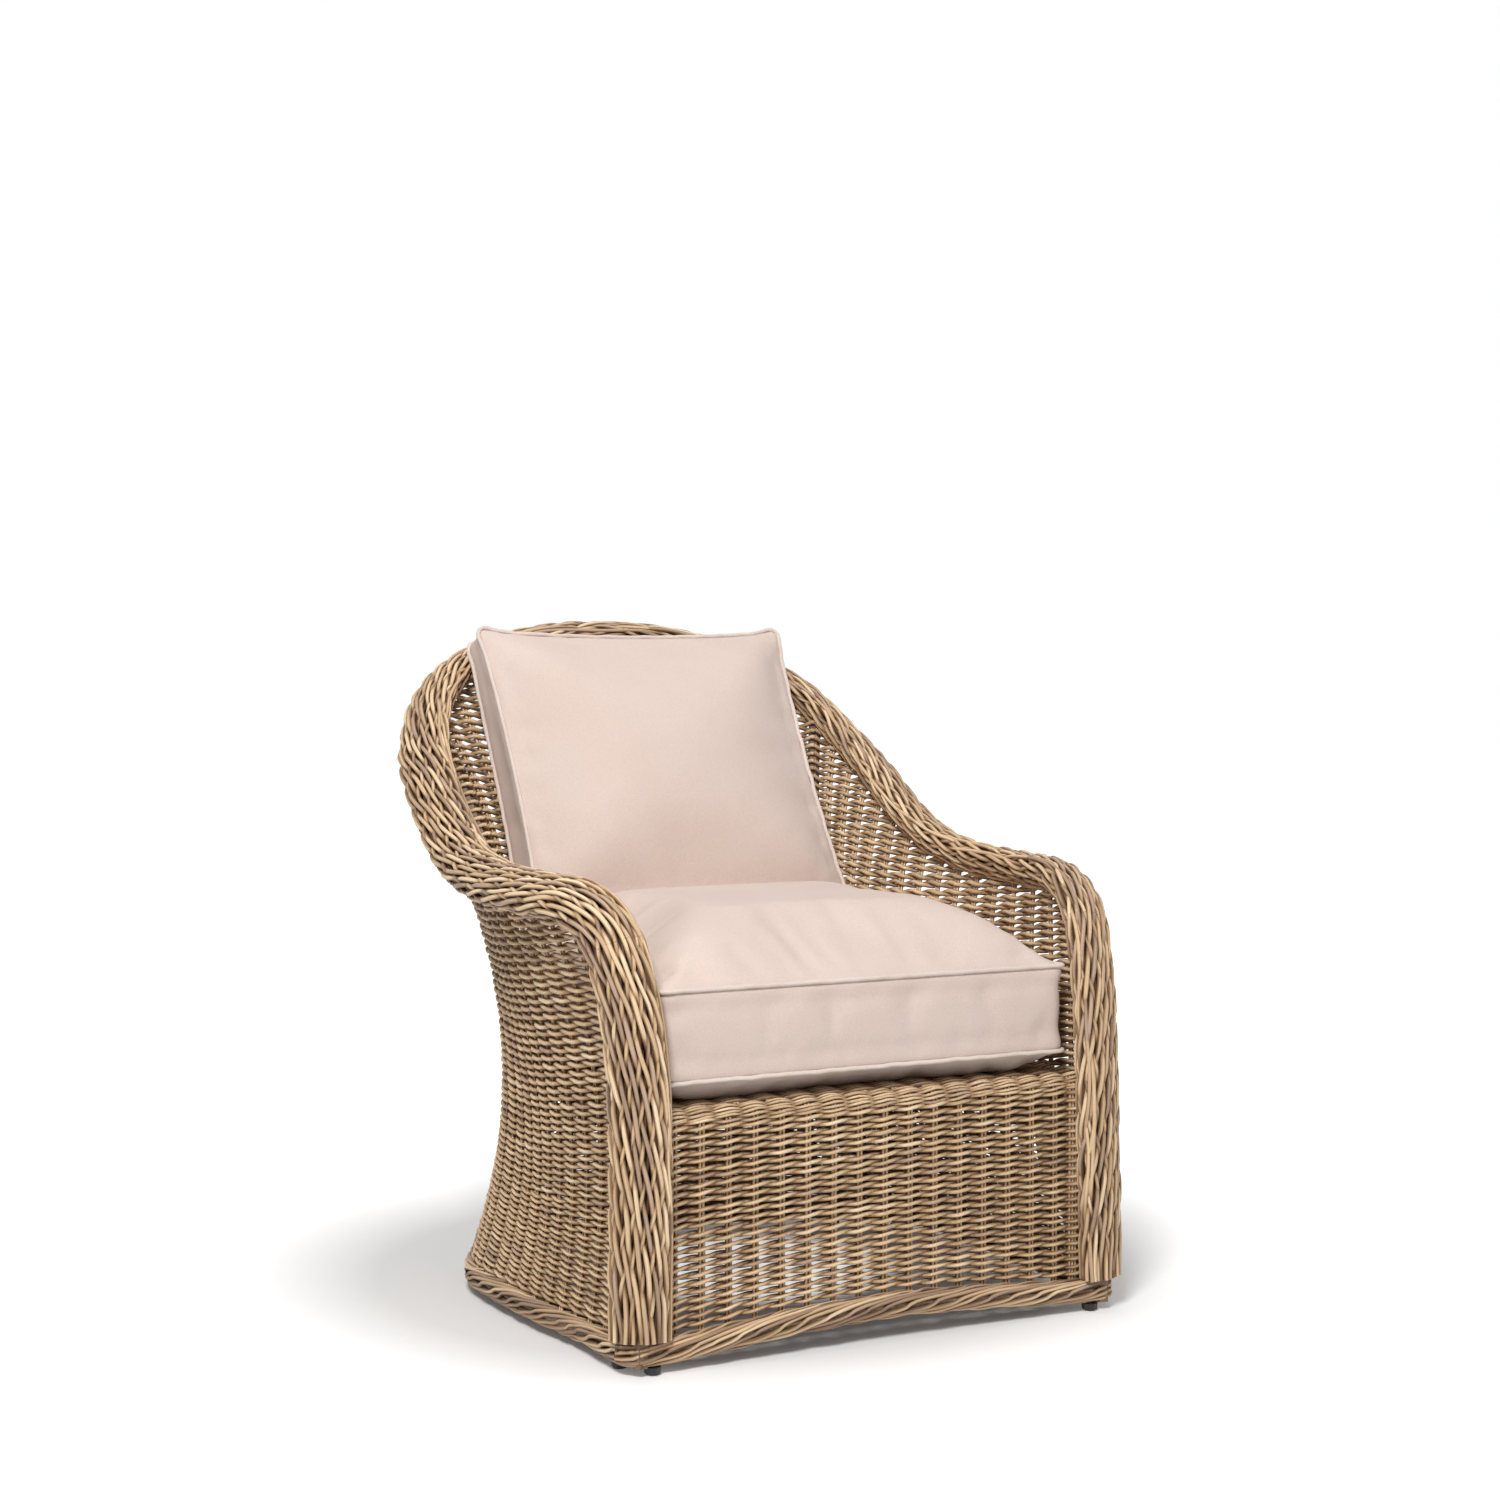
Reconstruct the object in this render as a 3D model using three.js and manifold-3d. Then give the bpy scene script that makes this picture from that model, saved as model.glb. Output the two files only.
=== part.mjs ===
// Woven cane lounge armchair with loose boxed cushions.
// Millimetres, +Z up, the sitter faces -Y. The origin is on the floor, at the middle of the chair's
// width and depth. The plan is worked out from the line of the front glides (y = 0) and moved back
// to that origin at the end.
import * as THREE from 'three';
import { mergeVertices } from 'three/addons/utils/BufferGeometryUtils.js';
import Module from 'manifold-3d';

const wasm = await Module();
wasm.setup();

// ---------------------------------------------------------------- driving dimensions
const fitGap = 0.3; // clearance between pieces that touch
const depthOrigin = 412; // from the line of the front glides to the middle of the depth

// Poles of the frame
const legRadius = 11;
const rimPoleRadius = 11;
const basePoleRadius = 9;
const seatPoleRadius = 9;
const uprightRadius = 9;
const seatBarRadius = 7;
const seatBarDepths = [150, 290, 430];
const seatHoopEnd = 0.955; // place round the shell where the hoop ends behind each front post
const legStop = 22; // how far below the top of the post's braid each leg ends
const uprightPlace = 0.655; // share of the way round from a front post to the middle of the back

// Nylon glides
const glideHeight = 10;
const glideRadius = 10.5;
const glideFlat = 5; // radius of the flat under its dome
const glidePinRadius = 3;
const glidePinLength = 13;
const frontGlideX = 307;
const sideGlideShares = [0.05, 0.6, 0.74]; // places round the hoop, from a front post to the back

// Rope border round the foot of the weave
const borderHeight = 32;
const borderWidth = 28;
const borderEdgeChamfer = 7;
const sideBorderShare = 0.45; // of each side's way round to the middle of the back
const frontArch = 16; // rise of the border between the front glides
const archHalfSpan = 288;
const archPower = 1.2;
const baseCornerRadius = 16;
const baseHalfWidthFront = 336;
const baseHalfWidth = 353;
const baseFrontY = -10;
const baseSideY = 369; // where the side ends and the round of the back begins
const baseBackY = 606;
const baseRoundness = 2.5; // exponent of the back's superellipse

// Rim: the right half of its path, from the foot of the post to the middle of the back
const rimPath = [
  [324, -11, 42], [321, -9, 200], [321, -3, 330], [326, 14, 430], [334, 46, 503], [347, 105, 535],
  [362, 210, 541], [366, 330, 546], [362, 430, 564], [356, 510, 602], [350, 583, 654], [337, 645, 700],
  [297, 717, 766], [228, 772, 814], [118, 813, 846], [0, 826, 856],
];
const rimEllipseY = 583; // plan centre of the rim's round back
const rimEllipseHalfWidth = 350;
const rimEllipseDepth = 243;
const braidHalfWidth = 36.5;
const braidHalfThickness = 23;
const braidRoll = 24; // degrees that the braid's broad face is turned outwards
const postBraidLength = 452;
const armBraidLength = 415;

// Woven shell and apron
const weaveThickness = 10; // of the apron
const shellThickness = 5.6; // of the shell between its stakes
const stakeSwell = 4.3; // how much further each face of the shell stands out over a stake
const uprightSwell = 11.6; // and over an upright, which the canes pass on both sides
const sideStakes = 16; // from a front post to the upright at the back corner
const backStakes = 8; // from there to the upright in the middle
const shellBow = 108; // inward bow of the shell at the middle of the back
const shellBowPower = 0.62; // how it fades towards the posts
const panelEnd = 0.003; // share of the half way round that a panel stops short of its upright's middle
const postHold = 0.3; // share of the way to the back over which the weave follows the post's bend
const shellTopSink = 8; // how far the weave runs up towards the rim's centre before it is trimmed
const apronMidY = 2;
const rollThickness = 9;

// Seat
const deckTop = 300;
const deckThickness = 8;

// Seat cushion
const seatHalfWidth = 281;
const seatFrontY = 14;
const seatRearY = 560;
const seatFrontCorner = 16;
const seatRearCorner = 158;
const seatSeamLow = 331;
const seatSeamHigh = 436;
const seatCrown = 64;
const seatCrownReach = 118; // from the seam to where the crown is nearly full
const seatUnderReach = 52;
const seatDrawIn = 6;

// Back cushion
const backHalfWidth = 236;
const backHeight = 432;
const backSeamDepth = 62;
const backLean = 29.5; // degrees from upright
const backCorner = 14;
const backFrontCrown = 42;
const backRearCrown = 24;
const backTopPinch = 24; // the top corners are squeezed thinner against the rim
const backCrownReach = 105;
const backDrawIn = 7;
const backFootY = 481;
const backFootZ = 487;

// Cushion making
const coverWall = 2.4;
const pipingRadius = 2.8;
const pipingLean = Math.SQRT1_2; // it sits diagonally off the seam
const zipWidth = 9;
const zipLength = 226;
const backZipLength = 380;
const zipDepth = 1.6;
const sliderSize = [11, 4, 6];
const sliderTravelInset = 10;

// Facets
const rimSteps = 62;
const ovalSides = 10;
const poleSides = 6;
const baseLoopSteps = 24; // points that the hoop's curve is laid through
const frontLineSteps = 8; // and the front pole's
const baseHoopSteps = 28;
const basePoleSteps = 12;
const seatHoopSteps = 30;
const uprightSteps = 11;
const legSteps = 8;
const glideSides = 9;
const shellRows = 9;
const frontStations = 13;
const cornerStations = 4;
const sideStations = 16;
const deckEdgePoints = 40;
const pipingSides = 6;

// ---------------------------------------------------------------- materials
const finish = (color, roughness, metalness = 0) =>
  new THREE.MeshStandardMaterial({ color, roughness, metalness });
const caneColor = 0xb39470;
const poleColor = 0x7a5c40;
const fabricColor = 0xe2cfc4;
const foamColor = 0xf0ead8;
const zipColor = 0xcbb6a8;
const nylonColor = 0x1d1d1f;

const chair = new THREE.Group();
chair.position.y = -depthOrigin;

function add(name, geometry, material) {
  const mesh = new THREE.Mesh(geometry, material);
  mesh.name = name;
  chair.add(mesh);
  return mesh;
}

// ---------------------------------------------------------------- small helpers
const vec = (x, y, z) => new THREE.Vector3(x, y, z);
const radians = THREE.MathUtils.degToRad;
const smooth = (x) => THREE.MathUtils.smoothstep(x, 0, 1);
const range = (count) => Array.from({ length: count }, (_, i) => i);
const mix = THREE.MathUtils.lerp;

// Skins a list of rings with the same number of points, splitting each four-sided face along its
// shorter diagonal. ends says how it closes: 'joined' runs the last ring into the first, 'fan' caps
// both ends from their middle, and 'ladder' caps long thin ends across from side to side.
function skin(rings, ends = 'fan') {
  const sides = rings[0].length;
  const points = rings.flat();
  const faces = [];
  const spans = ends === 'joined' ? rings.length : rings.length - 1;
  for (const i of range(spans)) {
    const here = i * sides;
    const next = ((i + 1) % rings.length) * sides;
    for (const j of range(sides)) {
      const k = (j + 1) % sides;
      const [a, b, c, d] = [here + j, next + j, next + k, here + k];
      const split = points[a].distanceTo(points[c]) <= points[b].distanceTo(points[d]);
      faces.push(...(split ? [a, b, c, a, c, d] : [a, b, d, b, c, d]));
    }
  }
  if (ends === 'joined') return orient(points, faces);
  const cap = (triangle, forwards) => faces.push(...(forwards ? triangle : triangle.reverse()));
  for (const [start, forwards] of [[0, true], [(rings.length - 1) * sides, false]]) {
    const hub = points.length;
    if (ends === 'fan') {
      points.push(rings[start / sides].reduce((sum, p) => sum.add(p), vec(0, 0, 0)).divideScalar(sides));
      for (const j of range(sides)) cap([hub, start + j, start + ((j + 1) % sides)], forwards);
    } else {
      for (const j of range(sides / 2 - 1)) {
        const [near, far] = [start + j, start + sides - 1 - j];
        cap([near, near + 1, far - 1], forwards);
        cap([near, far - 1, far], forwards);
      }
    }
  }
  return orient(points, faces);
}

// Makes a geometry whose faces point outwards.
function orient(points, faces) {
  let volume = 0;
  for (let i = 0; i < faces.length; i += 3) {
    const [a, b, c] = [points[faces[i]], points[faces[i + 1]], points[faces[i + 2]]];
    volume += a.dot(b.clone().cross(c));
  }
  if (volume < 0) faces.reverse();
  const geometry = new THREE.BufferGeometry();
  geometry.setAttribute('position', new THREE.Float32BufferAttribute(points.flatMap((p) => [...p]), 3));
  geometry.setIndex(faces);
  return geometry;
}

function toSolid(geometry) {
  const bare = geometry.clone();
  bare.deleteAttribute('normal');
  bare.deleteAttribute('uv');
  const merged = mergeVertices(bare, 1e-4);
  return new wasm.Manifold(new wasm.Mesh({
    numProp: 3,
    vertProperties: new Float32Array(merged.attributes.position.array),
    triVerts: new Uint32Array(merged.index.array),
  }));
}

function toGeometry(solid) {
  const mesh = solid.getMesh();
  const geometry = new THREE.BufferGeometry();
  geometry.setAttribute('position', new THREE.BufferAttribute(mesh.vertProperties, 3));
  geometry.setIndex(new THREE.BufferAttribute(mesh.triVerts, 1));
  return geometry;
}

// Cuts a piece back from its neighbours, each given already grown by its clearance, and keeps the
// main body of what is left.
function trimmed(geometry, neighbours) {
  let solid = toSolid(geometry);
  for (const neighbour of neighbours) solid = solid.subtract(toSolid(neighbour));
  const bodies = solid.decompose().sort((a, b) => b.volume() - a.volume());
  return toGeometry(bodies[0]);
}

function polygonRing(centre, across, up, halfWidth, halfHeight, sides) {
  return range(sides).map((j) => {
    const turn = (2 * Math.PI * (j + 0.5)) / sides;
    return centre.clone()
      .addScaledVector(across, halfWidth * Math.cos(turn))
      .addScaledVector(up, halfHeight * Math.sin(turn));
  });
}

// A round pole along a curve.
function pole(curve, radius, steps) {
  const section = new THREE.Shape();
  section.absarc(0, 0, radius, 0, 2 * Math.PI);
  return new THREE.ExtrudeGeometry(section, {
    steps, curveSegments: poleSides / 2, bevelEnabled: false, extrudePath: curve,
  });
}

// One ring of a round pole that follows the rim's path, at one of its places.
function rimRing(share, radius) {
  const { centre, broad, facing } = rimFrame(share);
  return polygonRing(centre, broad, facing, radius, radius, poleSides);
}

function straightPole(start, end, radius) {
  return pole(new THREE.LineCurve3(start, end), radius, 1);
}

// ---------------------------------------------------------------- rim path and its frame
const rimRight = rimPath.map((p) => vec(...p));
const rimLeft = rimRight.slice(0, -1).map((p) => vec(-p.x, p.y, p.z));
const rimCurve = new THREE.CatmullRomCurve3([...rimLeft, ...rimRight.reverse()], false, 'centripetal');
rimCurve.arcLengthDivisions = 600;
const rimLength = rimCurve.getLength();
const postShare = postBraidLength / rimLength;
const armShare = (postBraidLength + armBraidLength) / rimLength;
const legShare = (postBraidLength - legStop) / rimLength;

// Horizontal direction out of the chair at a point of the rim's plan.
function rimOutward(point) {
  if (point.y <= rimEllipseY) return vec(Math.sign(point.x), 0, 0);
  const acrossBack = (point.y - rimEllipseY) / rimEllipseDepth ** 2;
  return vec(point.x / rimEllipseHalfWidth ** 2, acrossBack, 0).normalize();
}

// The braid's frame: its broad axis lies across the rim, and its face looks up on the arms and
// back, and forwards on the posts, rolled outwards by braidRoll.
function rimFrame(share) {
  const centre = rimCurve.getPointAt(share);
  const along = rimCurve.getTangentAt(share);
  const face = along.clone().cross(rimOutward(centre)).normalize();
  const outward = face.clone().cross(along).normalize();
  const roll = radians(braidRoll);
  return {
    centre,
    broad: outward.clone().multiplyScalar(Math.cos(roll)).addScaledVector(face, -Math.sin(roll)),
    facing: face.clone().multiplyScalar(Math.cos(roll)).addScaledVector(outward, Math.sin(roll)),
  };
}

function braidRing(share, grow) {
  const { centre, broad, facing } = rimFrame(share);
  return polygonRing(centre, broad, facing, braidHalfWidth + grow, braidHalfThickness + grow, ovalSides);
}

function shares(from, to) {
  const steps = Math.max(2, Math.round((to - from) * rimSteps));
  return range(steps + 1).map((i) => mix(from, to, i / steps));
}

// A stretch of the braid, without the bore for its pole.
function braid(from, to, grow = 0) {
  return skin(shares(from, to).map((s) => braidRing(s, grow)));
}

// ---------------------------------------------------------------- base plan
const sideLength = baseSideY - rimPath[0][1];
const roundLength = 0.5 * Math.PI * Math.sqrt((baseHalfWidth ** 2 + (baseBackY - baseSideY) ** 2) / 2);
const halfWay = sideLength + roundLength;

// share 0 is the foot of a front post, 1 the middle of the back.
function baseArc(share) {
  const length = share * halfWay;
  if (length <= sideLength) {
    const way = length / sideLength;
    const x = mix(rimPath[0][0], baseHalfWidth, Math.sin(0.5 * Math.PI * way));
    return { x, y: rimPath[0][1] + length };
  }
  const turn = (0.5 * Math.PI * (length - sideLength)) / roundLength;
  return {
    x: baseHalfWidth * Math.max(Math.cos(turn), 0) ** (2 / baseRoundness),
    y: baseSideY + (baseBackY - baseSideY) * Math.sin(turn) ** (2 / baseRoundness),
  };
}

// ---------------------------------------------------------------- woven shell
const shellFoot = glideHeight + borderHeight + fitGap;
const shellRimShare = postShare + 0.018;
const shellHead = rimCurve.getPointAt(shellRimShare);

// How far the post's path stands off the straight line from its foot to the top of the shell.
function postBend(height) {
  const z = mix(shellFoot, shellHead.z - shellTopSink, height);
  const i = Math.max(rimPath.findIndex((p) => p[2] > z), 1);
  const [below, above] = [rimPath[i - 1], rimPath[i]];
  const way = (z - below[2]) / (above[2] - below[2]);
  const x = mix(below[0], above[0], way) - mix(rimPath[0][0], Math.abs(shellHead.x), height);
  const y = mix(below[1], above[1], way) - mix(rimPath[0][1], shellHead.y, height);
  return vec(x, y, 0);
}

// A point of the shell's middle surface. place runs from -1 (left post) through 0 (back) to 1.
function shellPoint(place, height) {
  const side = place < 0 ? -1 : 1;
  const share = 1 - Math.abs(place);
  const foot = baseArc(share);
  const head = rimCurve.getPointAt(mix(shellRimShare, 0.5, share));
  const outward = rimOutward(vec(Math.abs(head.x), head.y, 0));
  const bow = shellBow * share ** shellBowPower * 4 * height * (1 - height);
  const bend = postBend(height).multiplyScalar(1 - smooth(share / postHold));
  const x = mix(foot.x, Math.abs(head.x), height) - outward.x * bow + bend.x;
  const y = mix(foot.y, head.y, height) - outward.y * bow + bend.y;
  return vec(side * x, y, mix(shellFoot, head.z - shellTopSink, height));
}

function shellNormal(place, height) {
  const d = 1e-3;
  const low = Math.max(height - d, 0);
  const high = Math.min(height + d, 1);
  const left = Math.max(place - d, -1);
  const right = Math.min(place + d, 1);
  const alongWay = shellPoint(right, height).sub(shellPoint(left, height));
  const alongHeight = shellPoint(place, high).sub(shellPoint(place, low));
  const normal = alongHeight.cross(alongWay).normalize();
  const outward = shellPoint(place, height).setZ(0).sub(vec(0, baseSideY, 0));
  return normal.dot(outward) < 0 ? normal.negate() : normal;
}

// Height share at which the shell passes a level.
function shellHeight(place, z) {
  const foot = shellPoint(place, 0).z;
  return (z - foot) / (shellPoint(place, 1).z - foot);
}

// A panel of the shell with a rib over each of its stakes, and a fuller one where it passes an
// upright at either end, coming back from it by the next ring. poles says which ends have one.
function shellPanel({ from, to, stakes, poles }, grow = 0) {
  const columns = 2 * stakes;
  const spread = grow / halfWay;
  const swell = (i) => {
    const end = i < columns / 2 ? 'start' : 'end';
    const stepsIn = Math.min(i, columns - i);
    if (stepsIn === 0) return poles.includes(end) ? uprightSwell : 0;
    const besideUpright = stepsIn === 1 && poles.includes(end);
    return besideUpright || i % 2 === 0 ? stakeSwell : 0;
  };
  const rings = range(columns + 1).map((i) => {
    const place = mix(Math.max(from - spread, -1), Math.min(to + spread, 1), i / columns);
    const half = shellThickness / 2 + swell(i) + grow;
    const outer = [];
    const inner = [];
    for (const j of range(shellRows + 1)) {
      const height = j / shellRows;
      const middle = shellPoint(place, height);
      const normal = shellNormal(place, height);
      if (j === 0) normal.setZ(0).normalize();
      outer.push(middle.clone().addScaledVector(normal, half));
      inner.unshift(middle.clone().addScaledVector(normal, -half));
    }
    return [...outer, ...inner];
  });
  return skin(rings, 'ladder');
}

// A line up the shell at one place, set off from its middle surface.
class ShellStake extends THREE.Curve {
  constructor(place, from, to) {
    super();
    Object.assign(this, { place, from, to });
  }

  getPoint(t, target = new THREE.Vector3()) {
    return target.copy(shellPoint(this.place, mix(this.from, this.to, t)));
  }
}

// A level line round the inside of the shell, set in from its middle surface.
class ShellHoop extends THREE.Curve {
  constructor(from, to, z, inset) {
    super();
    Object.assign(this, { from, to, z, inset });
  }

  getPoint(t, target = new THREE.Vector3()) {
    const place = mix(this.from, this.to, t);
    const height = shellHeight(place, this.z);
    const normal = shellNormal(place, height).setZ(0).normalize();
    return target.copy(shellPoint(place, height)).addScaledVector(normal, -this.inset).setZ(this.z);
  }
}

// ---------------------------------------------------------------- frame of poles
const poleMaterial = finish(poleColor, 0.6);
const caneMaterial = finish(caneColor, 0.7);

const footZ = glideHeight + fitGap;
const gapShare = fitGap / rimLength;

// A leg stands inside the post's braid and ends where the rim pole begins.
function leg(side, grow = 0) {
  const reach = legShare + grow / rimLength;
  const rings = range(legSteps + 1).map((i) => {
    const way = (reach * i) / legSteps;
    return rimRing(side < 0 ? way : 1 - way, legRadius + grow);
  });
  return skin([rings[0].map((p) => p.clone().setZ(footZ - grow)), ...rings]);
}

function rimPole(grow = 0) {
  const list = shares(legShare + gapShare, 1 - legShare - gapShare);
  return skin(list.map((share) => rimRing(share, rimPoleRadius + grow)));
}

for (const [side, word] of [[-1, 'left'], [1, 'right']]) add(`front_leg_${word}`, leg(side), poleMaterial);
add('rim_pole', rimPole(), poleMaterial);

// Glides: one under the front pole and three under the hoop on each side.
const glideSpots = [[-1, 'left'], [1, 'right']].flatMap(([side, word]) => [
  [`glide_front_${word}`, side * frontGlideX, rimPath[0][1]],
  ...sideGlideShares.map((share, i) => {
    const foot = baseArc(share);
    return [`glide_${['side', 'corner', 'rear'][i]}_${word}`, side * foot.x, foot.y];
  }),
]);
// Holes for the glides' pins.
const pinHoleRadius = (glidePinRadius + fitGap) / Math.cos(Math.PI / poleSides);
const pinHoles = glideSpots.map(([, x, y]) => {
  const top = glideHeight + glidePinLength + fitGap;
  return straightPole(vec(x, y, 0), vec(x, y, top), pinHoleRadius);
});

// Base: one pole along the front and one hoop round the sides and back, inside the border.
const borderMidZ = glideHeight + borderHeight / 2;
const archRise = (x) =>
  frontArch * Math.cos(0.5 * Math.PI * Math.min(Math.abs(x) / archHalfSpan, 1)) ** archPower;
const baseLoop = range(baseLoopSteps + 1).map((i) => {
  const place = mix(-1, 1, i / baseLoopSteps);
  const foot = baseArc(1 - Math.abs(place));
  return vec(Math.sign(place) * foot.x, foot.y, borderMidZ);
});
const baseHoopCurve = new THREE.CatmullRomCurve3(baseLoop);
const baseHoop = (grow = 0) => pole(baseHoopCurve, basePoleRadius + grow, baseHoopSteps);
const frontLine = range(frontLineSteps + 1).map((i) => {
  const x = mix(-rimPath[0][0], rimPath[0][0], i / frontLineSteps);
  return vec(x, rimPath[0][1], borderMidZ + archRise(x));
});
const frontBaseCurve = new THREE.CatmullRomCurve3(frontLine);
const frontBasePole = (grow = 0) => pole(frontBaseCurve, basePoleRadius + grow, basePoleSteps);
const bothLegs = (grow) => [leg(-1, grow), leg(1, grow)];
const inBase = [...bothLegs(fitGap), ...pinHoles];
add('base_hoop_pole', trimmed(baseHoop(), inBase), poleMaterial);
add('base_front_pole', trimmed(frontBasePole(), [...inBase, baseHoop(fitGap)]), poleMaterial);

// Uprights at the back corners and in the middle of the back.
const uprightSpots = [
  ['left', -(1 - uprightPlace)],
  ['middle', 0],
  ['right', 1 - uprightPlace],
];
const upright = (place, grow = 0) => {
  const below = shellHeight(place, borderMidZ);
  return pole(new ShellStake(place, below, 1), uprightRadius + grow, uprightSteps);
};
for (const [word, place] of uprightSpots) {
  add(`back_upright_${word}`, trimmed(upright(place), [rimPole(fitGap), baseHoop(fitGap)]), poleMaterial);
}

// Seat frame: front rail, a hoop inside the shell and three bars under the woven deck.
const seatPoleZ = deckTop - deckThickness - fitGap - seatPoleRadius;
const seatRailY = apronMidY + weaveThickness / 2 + fitGap + seatPoleRadius;
const hoopInset = uprightRadius + seatPoleRadius + fitGap;
const railEnd = rimPath[1][0];
const railEnds = [-railEnd, railEnd].map((x) => vec(x, seatRailY, seatPoleZ));
const seatRail = (grow = 0) => straightPole(...railEnds, seatPoleRadius + grow);
const seatHoopCurve = new ShellHoop(-seatHoopEnd, seatHoopEnd, seatPoleZ, hoopInset);
const seatHoop = (grow = 0) => pole(seatHoopCurve, seatPoleRadius + grow, seatHoopSteps);
add('seat_front_rail', trimmed(seatRail(), bothLegs(fitGap)), poleMaterial);
add('seat_hoop_pole', trimmed(seatHoop(), [...bothLegs(fitGap), seatRail(fitGap)]), poleMaterial);
const barZ = deckTop - deckThickness - fitGap - seatBarRadius;
seatBarDepths.forEach((y, i) => {
  const bar = straightPole(vec(-baseHalfWidth, y, barZ), vec(baseHalfWidth, y, barZ), seatBarRadius);
  add(`seat_bar_${i + 1}`, trimmed(bar, [seatHoop(fitGap)]), poleMaterial);
});

// ---------------------------------------------------------------- rim braid
const uprights = (grow) => uprightSpots.map(([, place]) => upright(place, grow));
const inPost = [...bothLegs(fitGap), rimPole(fitGap), seatRail(fitGap), seatHoop(fitGap)];
const braidStretches = [
  ['post_braid_left', 0, postShare, inPost],
  ['arm_braid_left', postShare, armShare, [rimPole(fitGap)]],
  ['back_rim_braid', armShare, 1 - armShare, [rimPole(fitGap), ...uprights(fitGap)]],
  ['arm_braid_right', 1 - armShare, 1 - postShare, [rimPole(fitGap)]],
  ['post_braid_right', 1 - postShare, 1, inPost],
];
for (const [name, from, to, inside] of braidStretches) {
  const start = from === 0 ? 2 * gapShare : from + gapShare / 2;
  const end = to === 1 ? 1 - 2 * gapShare : to - gapShare / 2;
  add(name, trimmed(braid(start, end), inside), caneMaterial);
}

// ---------------------------------------------------------------- rope border
// Stations round the whole foot: along the front, round each front corner, then sides and back.
function borderStations() {
  const frontSpan = baseHalfWidthFront - baseCornerRadius;
  const cornerY = baseFrontY + baseCornerRadius;
  const front = range(frontStations).map((i) => {
    const x = mix(-frontSpan, frontSpan, i / (frontStations - 1));
    return vec(x, baseFrontY, borderMidZ + archRise(x));
  });
  const corner = range(cornerStations).map((i) => {
    const turn = (0.5 * Math.PI * (i + 1)) / cornerStations;
    const out = baseCornerRadius * Math.sin(turn);
    return vec(frontSpan + out, cornerY - baseCornerRadius * Math.cos(turn), borderMidZ);
  });
  const half = range(sideStations).map((i) => {
    const foot = baseArc((i + 1.6) / (sideStations + 0.6));
    return vec(mix(baseHalfWidthFront, foot.x, smooth(i / 3)), foot.y, borderMidZ);
  });
  const mirror = (list) => list.map((p) => vec(-p.x, p.y, p.z)).reverse();
  return [...front, ...corner, ...half, ...mirror(half.slice(0, -1)), ...mirror(corner)];
}

// A rectangle with its corners taken off.
function borderSection() {
  const [w, h, c] = [borderWidth / 2, borderHeight / 2, borderEdgeChamfer];
  const upper = [[w, h - c], [w - c, h], [c - w, h], [-w, h - c]];
  return [...upper, ...upper.map(([a, b]) => [-a, -b])];
}

const borderRing = borderStations();
function borderStretch(from, to) {
  const count = borderRing.length;
  const at = (i) => borderRing[((i % count) + count) % count];
  return skin(range(to - from + 1).map((step) => {
    const i = from + step;
    const along = at(i + 1).clone().sub(at(i - 1)).setZ(0).normalize();
    const outward = vec(along.y, -along.x, 0);
    const end = (step === 0) - (step === to - from);
    return borderSection().map(([a, b]) => at(i).clone()
      .addScaledVector(along, (end * fitGap) / 2)
      .addScaledVector(outward, a)
      .add(vec(0, 0, b)));
  }));
}

const rightEnd = frontStations + cornerStations - 1;
const backStart = rightEnd + Math.round(sideStations * sideBorderShare);
const leftTurn = borderRing.length - cornerStations - 1;
const borderParts = [
  ['border_front', -cornerStations, rightEnd],
  ['border_right', rightEnd, backStart],
  ['border_back', backStart, leftTurn - (backStart - rightEnd) + 1],
  ['border_left', leftTurn - (backStart - rightEnd) + 1, leftTurn + 1],
];
const postCutters = [braid(0, postShare, fitGap), braid(1 - postShare, 1, fitGap)];
const borderCuts = [
  ...bothLegs(fitGap), ...postCutters, ...uprights(fitGap), baseHoop(fitGap), frontBasePole(fitGap),
  ...pinHoles,
];
for (const [name, from, to] of borderParts) {
  add(name, trimmed(borderStretch(from, to), borderCuts), caneMaterial);
}

// ---------------------------------------------------------------- woven panels
const rimCutters = [...postCutters, braid(postShare, armShare, fitGap),
  braid(armShare, 1 - armShare, fitGap), braid(1 - armShare, 1 - postShare, fitGap)];
const cornerPlace = 1 - uprightPlace;
const corner = cornerPlace - panelEnd;
const panels = [
  { name: 'weave_side_left', from: -1, to: -cornerPlace - panelEnd, stakes: sideStakes, poles: ['end'] },
  { name: 'weave_back_left', from: -corner, to: -panelEnd, stakes: backStakes, poles: ['start', 'end'] },
  { name: 'weave_back_right', from: panelEnd, to: corner, stakes: backStakes, poles: ['start', 'end'] },
  { name: 'weave_side_right', from: cornerPlace + panelEnd, to: 1, stakes: sideStakes, poles: ['start'] },
];
const panelCuts = [...rimCutters, ...uprights(fitGap), seatRail(fitGap), seatHoop(fitGap)];
for (const panel of panels) {
  add(panel.name, trimmed(shellPanel(panel), panelCuts), caneMaterial);
}
// A grown panel's faces can fold the other way than its own, so three steps of growth are cut away.
const panelCutters = [1, 2, 4].flatMap((gaps) => panels.map((panel) => shellPanel(panel, gaps * fitGap)));

// Extrudes an outline drawn in (y, z) along the chair's width.
function acrossWidth(shape, halfWidth) {
  const geometry = new THREE.ExtrudeGeometry(shape, {
    depth: 2 * halfWidth, steps: 1, curveSegments: 8, bevelEnabled: false,
  });
  geometry.translate(0, 0, -halfWidth);
  return geometry.applyMatrix4(new THREE.Matrix4().makeBasis(vec(0, 1, 0), vec(0, 0, 1), vec(1, 0, 0)));
}

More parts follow.
